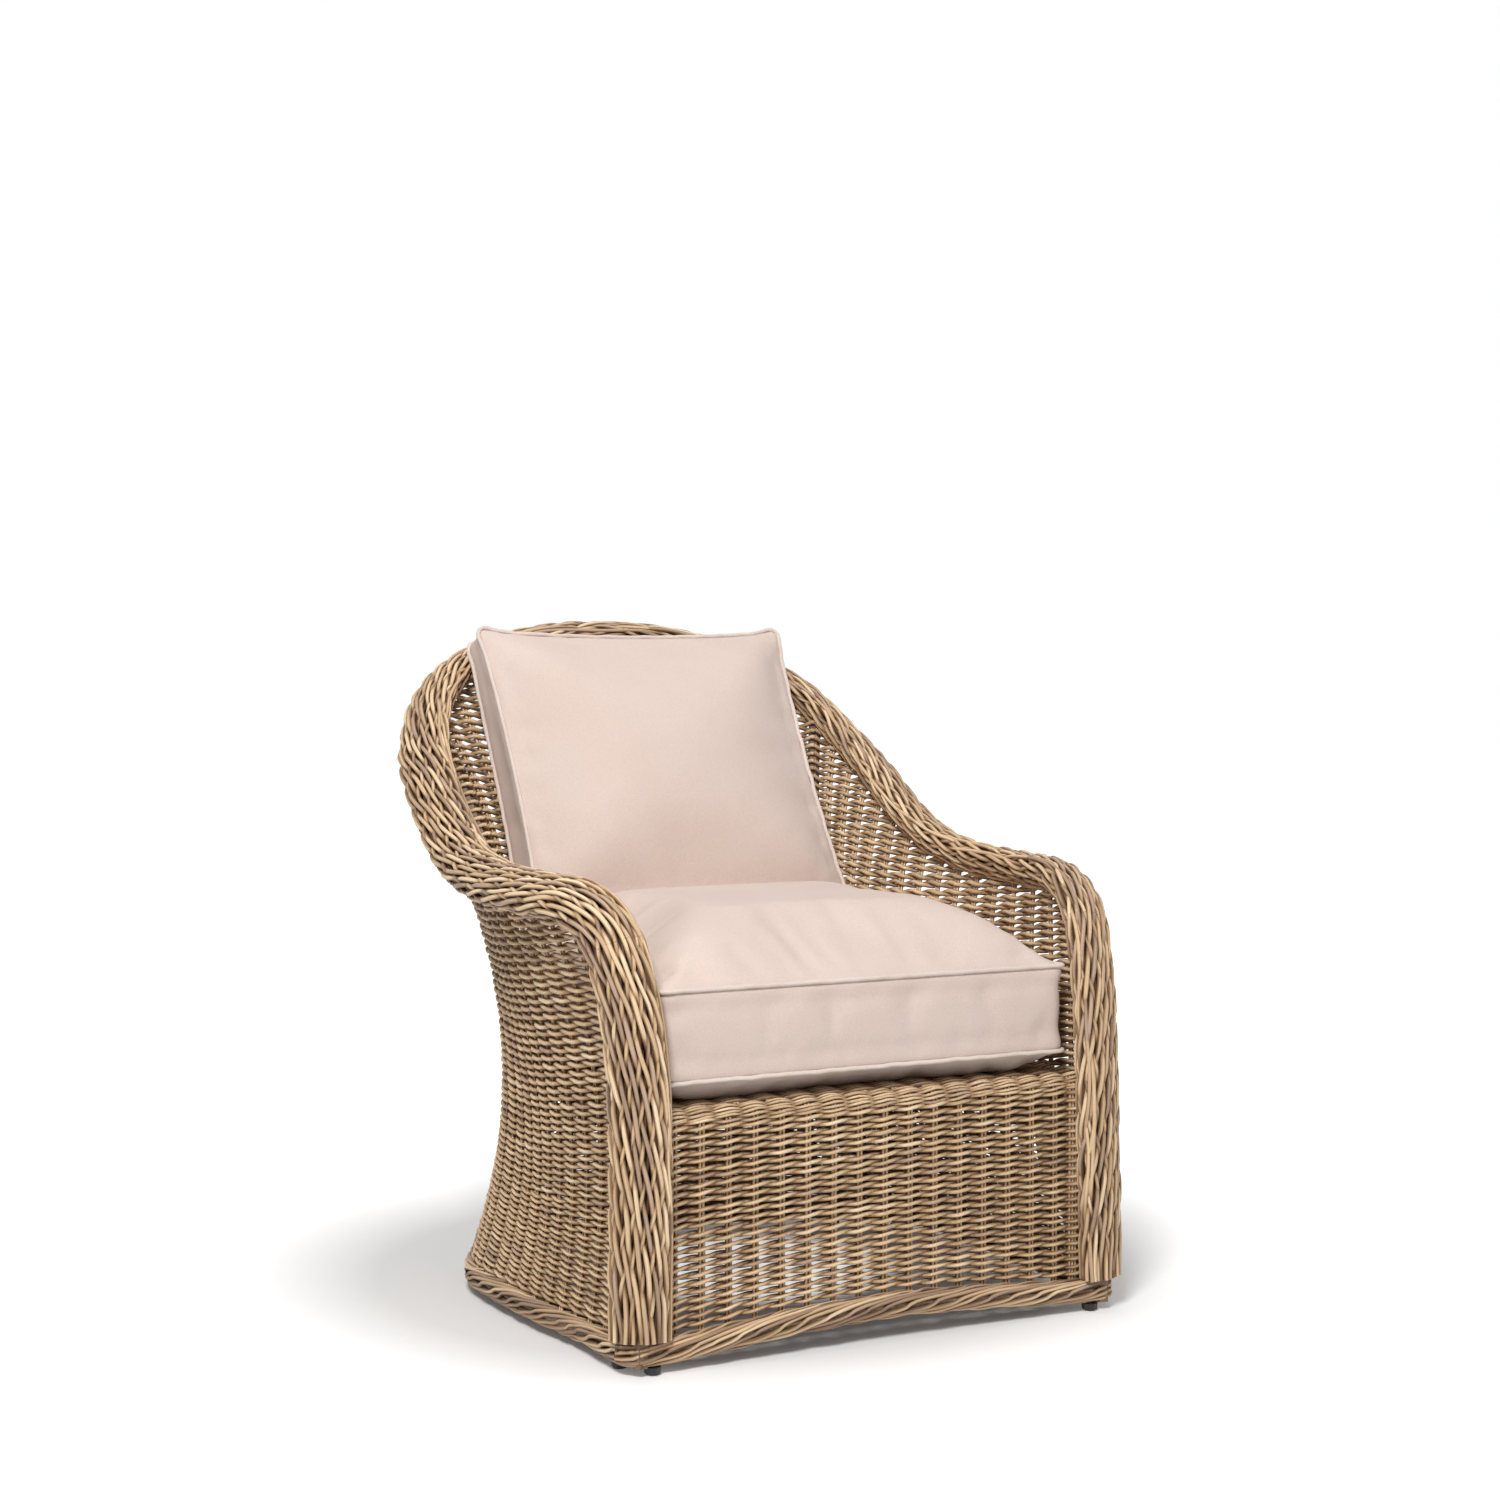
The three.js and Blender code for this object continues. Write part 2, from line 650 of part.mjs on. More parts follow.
const apronShape = new THREE.Shape([
  ...range(frontStations).map((i) => {
    const x = mix(-railEnd, railEnd, i / (frontStations - 1));
    return new THREE.Vector2(x, shellFoot + archRise(x));
  }),
  new THREE.Vector2(railEnd, seatPoleZ - fitGap),
  new THREE.Vector2(-railEnd, seatPoleZ - fitGap),
]);
const sheet = (depth) => ({ depth, steps: 1, bevelEnabled: false });
const apron = new THREE.ExtrudeGeometry(apronShape, sheet(weaveThickness));
apron.rotateX(Math.PI / 2);
apron.translate(0, apronMidY + weaveThickness / 2, 0);
add('apron_weave', trimmed(apron, postCutters), caneMaterial);

const rollInside = seatPoleRadius + fitGap;
const rollShape = new THREE.Shape();
rollShape.absarc(seatRailY, seatPoleZ, rollInside + rollThickness, Math.PI, 0.5 * Math.PI, true);
rollShape.absarc(seatRailY, seatPoleZ, rollInside, 0.5 * Math.PI, Math.PI, false);
const rollCutters = [...postCutters, ...panelCutters];
add('seat_front_roll', trimmed(acrossWidth(rollShape, railEnd), rollCutters), caneMaterial);

const deckEdge = new ShellHoop(-1, 1, deckTop - deckThickness / 2, 0);
const deckLine = deckEdge.getPoints(deckEdgePoints).filter((p) => p.y > seatRailY + fitGap);
const deckShape = new THREE.Shape([
  new THREE.Vector2(deckLine[0].x, seatRailY + fitGap),
  ...deckLine.map((p) => new THREE.Vector2(p.x, p.y)),
  new THREE.Vector2(deckLine.at(-1).x, seatRailY + fitGap),
]);
const deck = new THREE.ExtrudeGeometry(deckShape, sheet(deckThickness));
deck.translate(0, 0, deckTop - deckThickness);
const deckCutters = [...postCutters, ...uprights(fitGap), ...panelCutters];
add('seat_deck_weave', trimmed(deck, deckCutters), caneMaterial);

// ---------------------------------------------------------------- glides
const nylon = finish(nylonColor, 0.5);
const glideRound = [0, 1, 2].map((i) => {
  const turn = (i * Math.PI) / 6;
  return [mix(glideFlat, glideRadius, Math.sin(turn)), mix(glideHeight / 2, 0, Math.cos(turn))];
});
const glideDome = [[0, 0], ...glideRound, [glideRadius, glideHeight - fitGap],
  [glidePinRadius, glideHeight - fitGap], [glidePinRadius, glideHeight + glidePinLength],
  [0, glideHeight + glidePinLength]].map(([r, z]) => new THREE.Vector2(r, z));
for (const [name, x, y] of glideSpots) {
  const glide = new THREE.LatheGeometry(glideDome, glideSides);
  glide.rotateX(Math.PI / 2);
  const mesh = add(name, glide, nylon);
  mesh.position.set(x, y, 0);
}

// ---------------------------------------------------------------- cushions
const fabric = finish(fabricColor, 0.9);
const foam = finish(foamColor, 0.95);
const zipFinish = finish(zipColor, 0.6);

// Outline of a cushion's seam: a rectangle with round corners whose sides are drawn in between
// them. near and far name its two edges along y.
function seamOutline({ halfWidth, near, far, nearCorner, farCorner, drawIn }) {
  const points = [];
  const side = (a, b, count, pull) => {
    for (const i of range(count)) {
      const t = (i + 1) / (count + 1);
      const pulled = Math.sin(Math.PI * t);
      points.push(vec(mix(a[0], b[0], t) + pull * pulled, mix(a[1], b[1], t), 0));
    }
  };
  const corner = (cx, cy, radius, start, count) => {
    for (const i of range(count)) {
      const turn = radians(start + (90 * i) / (count - 1));
      points.push(vec(cx + radius * Math.cos(turn), cy + radius * Math.sin(turn), 0));
    }
  };
  const [w, n, f] = [halfWidth, nearCorner, farCorner];
  const far90 = Math.max(3, Math.round(f / 30));
  side([n - w, near], [w - n, near], 5, 0);
  corner(w - n, near + n, n, -90, 3);
  side([w, near + n], [w, far - f], 4, -drawIn);
  corner(w - f, far - f, f, 0, far90);
  side([w - f, far], [f - w, far], 3, 0);
  corner(f - w, far - f, f, 90, far90);
  side([-w, far - f], [-w, near + n], 4, drawIn);
  corner(n - w, near + n, n, 180, 3);
  return points;
}

const faceShares = [1, 0.955, 0.885, 0.78, 0.63, 0.4];
const rise = (share, reach) => Math.sin(0.5 * Math.PI * Math.min((1 - share) / reach, 1));

// Rings of a boxed cushion from its under face to its upper one, set in by inset all over.
function cushionRings(form, inset) {
  const centre = vec(0, (form.near + form.far) / 2, 0);
  const outline = form.outline.map((p) => {
    const arm = p.clone().sub(centre);
    return centre.clone().addScaledVector(arm, 1 - inset / arm.length());
  });
  const ring = (share, height) => outline.map((p) => {
    const q = centre.clone().lerp(p, share);
    return q.setZ(height(q, share));
  });
  const under = faceShares.map((s) => ring(s, (q, share) => form.under(q, share) + inset));
  const upper = faceShares.map((s) => ring(s, (q, share) => form.upper(q, share) - inset));
  return [...under.reverse(), ...upper];
}

function seamRing(form, face, sign) {
  const reach = pipingRadius + fitGap;
  const count = form.outline.length;
  return form.outline.map((p, i) => {
    const before = form.outline[(i + count - 1) % count];
    const after = form.outline[(i + 1) % count];
    const along = after.clone().sub(before).normalize();
    const outward = vec(along.y, -along.x, 0);
    const centre = p.clone().setZ(face(p, 1)).addScaledVector(outward, reach * pipingLean)
      .add(vec(0, 0, sign * reach * pipingLean));
    return polygonRing(centre, outward, vec(0, 0, 1), pipingRadius, pipingRadius, pipingSides);
  });
}

// Builds one cushion's pieces into a group: cover, core, two pipings, zip strip and slider.
function makeCushion(prefix, group, form, coreName) {
  const place = (name, geometry, material) => {
    const mesh = new THREE.Mesh(geometry, material);
    mesh.name = `${prefix}_${name}`;
    group.add(mesh);
    return mesh;
  };
  const box = (width, depth, height, at) => new THREE.BoxGeometry(width, depth, height).translate(...at);
  const outer = skin(cushionRings(form, 0));
  const cavity = skin(cushionRings(form, coverWall));
  const wallMid = form.zipY + form.zipInward * (coverWall / 2);
  const slot = box(form.zipLength, 6 * coverWall, zipWidth, [0, wallMid, form.zipZ]);
  place('cushion_cover', trimmed(outer, [cavity, slot]), fabric);
  place(coreName, skin(cushionRings(form, coverWall + fitGap)), foam);
  place('piping_upper', skin(seamRing(form, form.upper, 1), 'joined'), fabric);
  place('piping_lower', skin(seamRing(form, form.under, -1), 'joined'), fabric);
  const stripY = form.zipY + form.zipInward * (zipDepth / 2);
  const strip = box(form.zipLength - 2 * fitGap, zipDepth, zipWidth - 2 * fitGap, [0, stripY, form.zipZ]);
  place('zip', strip, zipFinish);
  const sliderX = sliderTravelInset - form.zipLength / 2;
  const sliderY = form.zipY - form.zipInward * (fitGap + sliderSize[1] / 2);
  place('zip_slider', box(...sliderSize, [sliderX, sliderY, form.zipZ]), zipFinish);
}

// The plane that the back cushion's foot stands on, pressed into the seat's crown.
const leanSlope = Math.tan(radians(backLean));
const pipingStand = (pipingRadius + fitGap) * pipingLean + pipingRadius * Math.cos(Math.PI / pipingSides);
const footDrop = (pipingStand + fitGap) / Math.cos(radians(backLean));
const footPlane = (y) => backFootZ - (y - backFootY) * leanSlope - footDrop;

const seatForm = {
  near: seatFrontY,
  far: seatRearY,
  outline: seamOutline({
    halfWidth: seatHalfWidth, near: seatFrontY, far: seatRearY,
    nearCorner: seatFrontCorner, farCorner: seatRearCorner, drawIn: seatDrawIn,
  }),
  upper: (q, s) => {
    const crown = seatSeamHigh + seatCrown * rise(s, seatCrownReach / seatHalfWidth);
    return Math.min(crown, Math.max(footPlane(q.y), seatSeamHigh));
  },
  under: (q, s) => mix(seatSeamLow, deckTop + fitGap, rise(s, seatUnderReach / seatHalfWidth)),
  zipY: seatRearY,
  zipInward: -1,
  zipZ: (seatSeamLow + seatSeamHigh) / 2,
  zipLength,
};
makeCushion('seat', chair, seatForm, 'foam_core');

const pinch = (q) =>
  backTopPinch * (Math.abs(q.x) / backHalfWidth) ** 4 * Math.max(q.y / backHeight, 0) ** 4;
const backForm = {
  near: 0,
  far: backHeight,
  outline: seamOutline({
    halfWidth: backHalfWidth, near: 0, far: backHeight,
    nearCorner: backCorner, farCorner: backCorner, drawIn: backDrawIn,
  }),
  upper: (q, s) => backFrontCrown * rise(s, backCrownReach / backHalfWidth),
  under: (q, s) => {
    const crown = backRearCrown * rise(s, backCrownReach / backHalfWidth);
    return pinch(q) * s ** 8 - backSeamDepth - crown;
  },
  zipY: 0,
  zipInward: 1,
  zipZ: -backSeamDepth / 2,
  zipLength: backZipLength,
};
const backGroup = new THREE.Group();
backGroup.position.set(0, backFootY, backFootZ);
backGroup.rotation.x = radians(90 - backLean);
chair.add(backGroup);
makeCushion('back', backGroup, backForm, 'fibre_core');

export default chair;
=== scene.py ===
"""Woven cane lounge armchair with loose boxed cushions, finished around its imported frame.

Metres throughout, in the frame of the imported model: +Z up, the sitter faces -Y, the floor at Z = 0.
The twined weave, the plaited rim and the rope border are drawn cane by cane, and the cushions are
sewn shells that are blown up as cloth.
"""

import functools
import logging
import math
from dataclasses import dataclass, field
from enum import Enum
from typing import Callable

import bmesh
import bpy
import numpy as np
from mathutils import Matrix, Vector
from mathutils.kdtree import KDTree


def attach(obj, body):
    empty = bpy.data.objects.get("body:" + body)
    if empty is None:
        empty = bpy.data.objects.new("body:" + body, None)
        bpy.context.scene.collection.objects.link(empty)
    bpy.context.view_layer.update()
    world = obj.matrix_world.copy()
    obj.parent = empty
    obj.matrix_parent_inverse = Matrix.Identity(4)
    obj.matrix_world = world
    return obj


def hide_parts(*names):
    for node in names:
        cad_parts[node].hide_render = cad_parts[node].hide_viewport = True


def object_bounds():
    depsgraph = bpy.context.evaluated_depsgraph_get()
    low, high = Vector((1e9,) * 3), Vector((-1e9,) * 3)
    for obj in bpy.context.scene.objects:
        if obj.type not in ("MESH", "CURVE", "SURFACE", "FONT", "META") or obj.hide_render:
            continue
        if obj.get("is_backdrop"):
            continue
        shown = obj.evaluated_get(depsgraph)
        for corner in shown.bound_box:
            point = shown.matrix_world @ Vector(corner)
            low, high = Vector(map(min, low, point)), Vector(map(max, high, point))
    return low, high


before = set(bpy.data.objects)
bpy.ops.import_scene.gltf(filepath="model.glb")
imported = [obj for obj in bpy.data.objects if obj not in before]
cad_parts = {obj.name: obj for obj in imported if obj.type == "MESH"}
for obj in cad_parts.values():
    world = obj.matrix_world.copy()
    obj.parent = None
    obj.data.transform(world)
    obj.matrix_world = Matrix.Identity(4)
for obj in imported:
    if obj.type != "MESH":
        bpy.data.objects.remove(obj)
CAD_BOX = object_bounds()
LOG = logging.getLogger("armchair")

DEPTH_ORIGIN = 0.412
"""From the line of the front glides, where the chair's plan is set out, to the origin."""

Points = np.ndarray
Axes = tuple[Points, Points, Points]
Surface = Callable[[Points], Axes]
Face = Callable[[Points, Points], Points]
Triple = tuple[float, float, float]
Socket = bpy.types.NodeSocket
Inputs = dict[str | int, object]


class Body(Enum):
    """The bodies that the pieces ride on."""

    CHAIR = "chair"
    SEAT = "seat_cushion"
    BACK = "back_cushion"


class Slot(Enum):
    """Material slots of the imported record."""

    CANE = "cane"
    FABRIC = "cushion_fabric"


def smooth(value: Points | float) -> Points | float:
    """Ease from 0 to 1 with level ends."""
    value = np.clip(value, 0.0, 1.0)
    return value * value * (3 - 2 * value)


def lerp(start: Points | float, end: Points | float, share: Points | float) -> Points | float:
    """Mix two values by a share."""
    return start + (end - start) * share


def unit(vectors: Points) -> Points:
    """Scale each row of an array of vectors to length 1."""
    return vectors / np.linalg.norm(vectors, axis=-1, keepdims=True)


def columns(*values: Points | float) -> Points:
    """Give points from their coordinates, each an array or one value for them all."""
    return np.stack(np.broadcast_arrays(*(np.asarray(v, float) for v in values)), axis=-1)


def reach_along(line: Points) -> Points:
    """Give how far along a line each of its points lies."""
    steps = np.linalg.norm(np.diff(line, axis=0), axis=1)
    return np.concatenate(((0.0,), np.cumsum(steps)))


class Wander:
    """A slow seeded wobble, as a hand-laid cane has."""

    def __init__(self, rng: np.random.Generator, wavelength: float, waves: int = 3) -> None:
        """Draw the waves.

        Args:
            rng: Seeded source of the waves' lengths and phases.
            wavelength: Typical length of a wave, in the units that the wobble is read in.
            waves: How many waves are added up.
        """
        self.rates = 2 * math.pi / (wavelength * rng.uniform(0.6, 1.9, waves))
        self.phases = rng.uniform(0, 2 * math.pi, waves)

    def __call__(self, along: Points) -> Points:
        """Give the wobble, about -1 to 1, at each place along."""
        turns = np.multiply.outer(along, self.rates) + self.phases
        return np.sin(turns).mean(axis=-1) * 1.5


def wavering(rng: np.random.Generator, along: Points, wavelength: float, share: float) -> Points:
    """Give factors about 1 that wobble by a share of themselves, at each place along."""
    return 1 + share * Wander(rng, wavelength)(along)


# ------------------------------------------------------------------------------- frame of the form


@dataclass(frozen=True)
class RimPath:
    """The rim's centre line, from the foot of the left post over the back to the right post's foot.

    The right half is given from the foot upwards, in millimetres from the line of the glides.
    """

    half: tuple[tuple[float, float, float], ...] = (
        (324, -11, 42), (321, -9, 200), (321, -3, 330), (326, 14, 430), (334, 46, 503), (347, 105, 535),
        (362, 210, 541), (366, 330, 546), (362, 430, 564), (356, 510, 602), (350, 583, 654),
        (337, 645, 700), (297, 717, 766), (228, 772, 814), (118, 813, 846), (0, 826, 856),
    )
    samples: int = 2400
    post_length: float = 0.452
    arm_length: float = 0.415
    ellipse_y: float = 0.583
    ellipse_half_width: float = 0.350
    ellipse_depth: float = 0.243
    roll: float = math.radians(24)
    places: Points = field(init=False)
    lengths: Points = field(init=False)

    def __post_init__(self) -> None:
        """Sample the curve once."""
        right = np.array(self.half) / 1000
        left = right[:-1] * (-1, 1, 1)
        knots = np.vstack((left, right[::-1]))
        knots = np.vstack((2 * knots[0] - knots[1], knots, 2 * knots[-1] - knots[-2]))
        spans = len(knots) - 3
        way = np.linspace(0, spans, self.samples + 1)
        span = np.minimum(way.astype(int), spans - 1)
        way = (way - span)[:, None]
        a, b, c, d = (knots[span + i] for i in range(4))
        legs = (b - a, c - b, d - c)
        ab, bc, cd = (np.linalg.norm(leg, axis=1, keepdims=True) ** 0.5 for leg in legs)
        start = ((b - a) / ab - (c - a) / (ab + bc) + (c - b) / bc) * bc
        end = ((c - b) / bc - (d - b) / (bc + cd) + (d - c) / cd) * bc
        cubic = 2 * b - 2 * c + start + end
        square = -3 * b + 3 * c - 2 * start - end
        places = b + start * way + square * way**2 + cubic * way**3
        object.__setattr__(self, "places", places)
        object.__setattr__(self, "lengths", reach_along(places))

    @property
    def length(self) -> float:
        """Whole length of the rim."""
        return float(self.lengths[-1])

    def at(self, share: Points) -> Points:
        """Give the points at shares of the rim's length."""
        reach = np.asarray(share) * self.length
        return columns(*(np.interp(reach, self.lengths, self.places[:, i]) for i in range(3)))

    def along(self, share: Points) -> Points:
        """Give the unit tangents at shares of the rim's length."""
        step = 2e-3
        share = np.asarray(share)
        return unit(self.at(np.minimum(share + step, 1)) - self.at(np.maximum(share - step, 0)))

    def outward(self, points: Points) -> Points:
        """Give the level direction out of the chair at points of the rim."""
        round_back = points[..., 1] > self.ellipse_y
        x = np.where(round_back, points[..., 0] / self.ellipse_half_width**2, np.sign(points[..., 0]))
        y = np.where(round_back, (points[..., 1] - self.ellipse_y) / self.ellipse_depth**2, 0.0)
        return unit(columns(x, y, 0.0))

    def section(self, share: Points) -> Axes:
        """Give the plait's own axes at shares of the rim's length.

        Args:
            share: Places along the rim, from 0 to 1.

        Returns:
            The centres, the directions across the plait's face, and the directions it faces.
        """
        centre = self.at(share)
        along = self.along(share)
        face = unit(np.cross(along, self.outward(centre)))
        outward = unit(np.cross(face, along))
        broad = outward * math.cos(self.roll) - face * math.sin(self.roll)
        facing = face * math.cos(self.roll) + outward * math.sin(self.roll)
        return centre, broad, facing


@dataclass(frozen=True)
class ShellForm:
    """The middle surface of the woven shell, from the left post round the back to the right one."""

    rim: RimPath
    foot_level: float = 0.0423
    head_sink: float = 0.008
    bow: float = 0.108
    bow_power: float = 0.62
    post_hold: float = 0.3
    head_start: float = 0.018
    side_end_y: float = 0.369
    half_width: float = 0.353
    back_y: float = 0.606
    roundness: float = 2.5

    @property
    def side_length(self) -> float:
        """Length of the side of the base plan, before its round back."""
        return self.side_end_y - self.rim.half[0][1] / 1000

    @property
    def half_length(self) -> float:
        """Length of half the base plan."""
        round_depth = self.back_y - self.side_end_y
        return self.side_length + 0.5 * math.pi * math.sqrt((self.half_width**2 + round_depth**2) / 2)

    def base(self, share: Points) -> Points:
        """Give the right half of the base plan, from the post's foot (0) to the middle back (1)."""
        foot_x, foot_y = (v / 1000 for v in self.rim.half[0][:2])
        length = np.asarray(share) * self.half_length
        side = np.clip(length / self.side_length, 0, 1)
        side_x = lerp(foot_x, self.half_width, np.sin(0.5 * math.pi * side))
        turn = (length - self.side_length) / (self.half_length - self.side_length)
        turn = 0.5 * math.pi * np.clip(turn, 0, 1)
        power = 2 / self.roundness
        round_x = self.half_width * np.maximum(np.cos(turn), 0) ** power
        round_y = self.side_end_y + (self.back_y - self.side_end_y) * np.sin(turn) ** power
        on_side = length <= self.side_length
        return columns(np.where(on_side, side_x, round_x), np.where(on_side, foot_y + length, round_y))

    def _head_share(self) -> float:
        return self.rim.post_length / self.rim.length + self.head_start

    def head_level(self, place: Points) -> Points:
        """Give the level of the shell's top edge at places from -1 (left post) to 1 (right post)."""
        share = 1 - np.abs(place)
        return self.rim.at(lerp(self._head_share(), 0.5, share))[..., 2] - self.head_sink

    def height(self, place: Points, level: Points) -> Points:
        """Give the share of the shell's height at which it passes a level."""
        return (level - self.foot_level) / (self.head_level(place) - self.foot_level)

    def point(self, place: Points, height: Points) -> Points:
        """Give points of the shell.

        Args:
            place: Places round the shell, from -1 (left post) through 0 (back) to 1 (right post).
            height: Shares of the shell's height, from its foot (0) to its head (1).

        Returns:
            The points, measured from the line of the glides.
        """
        place, height = np.broadcast_arrays(np.asarray(place, float), np.asarray(height, float))
        share = 1 - np.abs(place)
        foot = self.base(share)
        head = self.rim.at(lerp(self._head_share(), 0.5, share))
        head[..., 0] = np.abs(head[..., 0])
        outward = self.rim.outward(head)
        start = self.rim.at(np.array(self._head_share()))
        path = np.array(self.rim.half) / 1000
        level = lerp(self.foot_level, start[2] - self.head_sink, height)
        bend_x = np.interp(level, path[:, 2], path[:, 0]) - lerp(path[0, 0], abs(start[0]), height)
        bend_y = np.interp(level, path[:, 2], path[:, 1]) - lerp(path[0, 1], start[1], height)
        hold = 1 - smooth(share / self.post_hold)
        bow = self.bow * share**self.bow_power * 4 * height * (1 - height)
        x = lerp(foot[..., 0], head[..., 0], height) - outward[..., 0] * bow + bend_x * hold
        y = lerp(foot[..., 1], head[..., 1], height) - outward[..., 1] * bow + bend_y * hold
        z = lerp(self.foot_level, head[..., 2] - self.head_sink, height)
        return columns(np.where(place < 0, -x, x), y, z)

    def axes(self, place: Points, height: Points) -> Axes:
        """Give points of the shell with its outward normals and its upward tangents."""
        step = 2e-3
        up = self.point(place, height + step) - self.point(place, height - step)
        left, right = np.maximum(place - step, -1), np.minimum(place + step, 1)
        round_ = self.point(right, height) - self.point(left, height)
        normal = unit(np.cross(up, round_))
        middle = self.point(place, height)
        away = middle - np.array((0, self.side_end_y, 0))
        away[..., 2] = 0
        flip = np.sign((normal * away).sum(axis=-1, keepdims=True))
        return middle, normal * flip, unit(up)


# --------------------------------------------------------------------------------- canes as meshes


def placed(name: str, data: bpy.types.ID) -> bpy.types.Object:
    """Make an object for some data and link it into the scene."""
    made = bpy.data.objects.new(name, data)
    bpy.context.scene.collection.objects.link(made)
    return made


def applied(source: bpy.types.Object) -> bpy.types.Mesh:
    """Give the mesh that an object's data and modifiers make."""
    graph = bpy.context.evaluated_depsgraph_get()
    graph.update()
    return bpy.data.meshes.new_from_object(source.evaluated_get(graph))


def points_of(mesh: bpy.types.Mesh) -> Points:
    """Give a mesh's vertices as an array."""
    flat = np.empty(len(mesh.vertices) * 3)
    mesh.vertices.foreach_get("co", flat)
    return flat.reshape(-1, 3)


def move_points(mesh: bpy.types.Mesh, points: Points) -> None:
    """Put a mesh's vertices at these points."""
    mesh.vertices.foreach_set("co", points.astype(np.float32).ravel())
    mesh.update()


def round_curve(name: str, radius: float, resolution: int) -> bpy.types.Curve:
    """Start a curve whose lines become round strands."""
    curve = bpy.data.curves.new(name, "CURVE")
    curve.dimensions = "3D"
    curve.bevel_depth = radius
    curve.bevel_resolution = resolution
    return curve


def add_line(curve: bpy.types.Curve, line: Points) -> bpy.types.Spline:
    """Add a line through these points to a curve."""
    spline = curve.splines.new("POLY")
    spline.points.add(len(line) - 1)
    spline.points.foreach_set("co", columns(*line.T, 1.0).ravel())
    return spline


def curve_mesh(curve: bpy.types.Curve) -> bpy.types.Mesh:
    """Turn a curve into a mesh and remove the curve."""
    drawn = placed(curve.name + "_line", curve)
    mesh = applied(drawn)
    bpy.data.objects.remove(drawn)
    bpy.data.curves.remove(curve)
    return mesh


@dataclass
class Cane:
    """One cane: its centre line in metres from the line of the glides, its radii and its tone.

    proud is how far up out of the work it lies, from 0 in a crevice to 1 on top; the cane finish paints
    shade by it, darker the less proud it is.
    """

    line: Points
    radius: Points | float
    tone: Points | float
    proud: Points | float = 1.0
    across: Points | None = None


@dataclass
class CaneWork:
    """A piece made of many canes, each a closed round strand. It replaces the CAD node of its name.

    flank is how proud a cane's flanks count beside its middle, and flank_start is where they start: the
    flanks, where a cane meets its neighbours, get painted shade.
    """

    name: str
    seed: int
    sides: int = 6
    flank: float = 0.28
    flank_start: float = 0.45
    fibre_shift: float = 7.3
    canes: list[Cane] = field(default_factory=list)

    def __post_init__(self) -> None:
        """Start the piece's own random draws."""
        self.rng = np.random.default_rng(self.seed)

    def lay(
        self,
        line: Points,
        radius: Points | float,
        tone: Points | float | None = None,
        proud: Points | float = 1.0,
        across: Points | None = None,
    ) -> None:
        """Add one cane.

        Args:
            line: Points of its centre line.
            radius: Its radius, or one for each point.
            tone: Its place in the range of cane tones from 0 to 1, one for each point, or None to draw one.
            proud: How far up out of the work it lies, from 0 in a crevice to 1 on top; the less proud, the
                more painted shade.
            across: The direction in which its neighbours lie, at each point.
        """
        if len(line) < 2:
            return
        drawn = float(self.rng.random())
        self.canes.append(Cane(line, radius, drawn if tone is None else tone, proud, across))

    def build(self) -> bpy.types.Object:
        """Turn the canes into one mesh piece, riding on the chair, and return it."""
        curve = round_curve(self.name, 1.0, (self.sides - 4) // 2)
        rows: list[Points] = []
        for cane in self.canes:
            place = cane.line - np.array((0, DEPTH_ORIGIN, 0))
            given = columns(cane.tone, reach_along(cane.line), cane.radius, cane.proud)
            add_line(curve, place).points.foreach_set("radius", given[:, 2].copy())
            across = np.zeros_like(place) if cane.across is None else cane.across
            rows.append(np.column_stack((given, place, across)))
        mesh = curve_mesh(curve)
        self._mark(mesh, np.vstack(rows))
        close_ends(mesh)
        return dress(self.name, mesh, Body.CHAIR, Slot.CANE, finish("cane"), (self.name,))

    def _mark(self, mesh: bpy.types.Mesh, rows: Points) -> None:
        """Write each cane's tone, its proudness, lowered on its flanks as painted shade, and its own
        coordinates onto the mesh.
        """
        sides = len(mesh.vertices) // len(rows)
        turn = np.tile(2 * math.pi * np.arange(sides) / sides, len(rows))
        rows = np.repeat(rows, sides, axis=0)
        tone, reach, radius, proud = rows[:, :4].T
        # A cane's flanks, turned towards its neighbours, count as less proud: painted shade between the
        # canes.
        beside = np.abs((unit(points_of(mesh) - rows[:, 4:7]) * rows[:, 7:10]).sum(axis=1))
        flank = smooth((beside - self.flank_start) / (1 - self.flank_start))
        own = columns(reach + self.fibre_shift * tone, radius * np.cos(turn), radius * np.sin(turn))
        for label, values in (("tone", tone), ("proud", proud * lerp(1.0, self.flank, flank))):
            written = mesh.attributes.new(label, "FLOAT", "POINT")
            written.data.foreach_set("value", values.astype(np.float32))
        written = mesh.attributes.new("cane", "FLOAT_VECTOR", "POINT")
        written.data.foreach_set("vector", own.astype(np.float32).ravel())


def close_ends(mesh: bpy.types.Mesh) -> None:
    """Cap the open ends of a mesh's strands."""
    strands = bmesh.new()
    strands.from_mesh(mesh)
    rims = [edge for edge in strands.edges if edge.is_boundary]
    for edge in rims:
        edge.smooth = False
    bmesh.ops.holes_fill(strands, edges=rims)
    bmesh.ops.recalc_face_normals(strands, faces=strands.faces)
    strands.to_mesh(mesh)
    strands.free()


def dress(
    name: str,
    mesh: bpy.types.Mesh,
    body: Body,
    slot: Slot,
    material: bpy.types.Material,
    nodes: tuple[str, ...] = (),
) -> bpy.types.Object:
    """slot: The record's material slot that it belongs to; not used.
        material: Its finish.
        nodes: CAD nodes that it stands for.

    Returns:
        The piece.
    """
    mesh.name = name
    mesh.materials.clear()
    mesh.materials.append(material)
    mesh.shade_smooth()
    piece = placed(name + "_finished", mesh)
    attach(piece, body.value)
    if nodes:
        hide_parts(*nodes)
    faces = sum(len(p.vertices) - 2 for p in mesh.polygons)
    LOG.info("%s: %d triangles on %s, for %s", name, faces, body.value, ", ".join(nodes) or "nothing")
    return piece


# ---------------------------------------------------------------------------------- woven surfaces


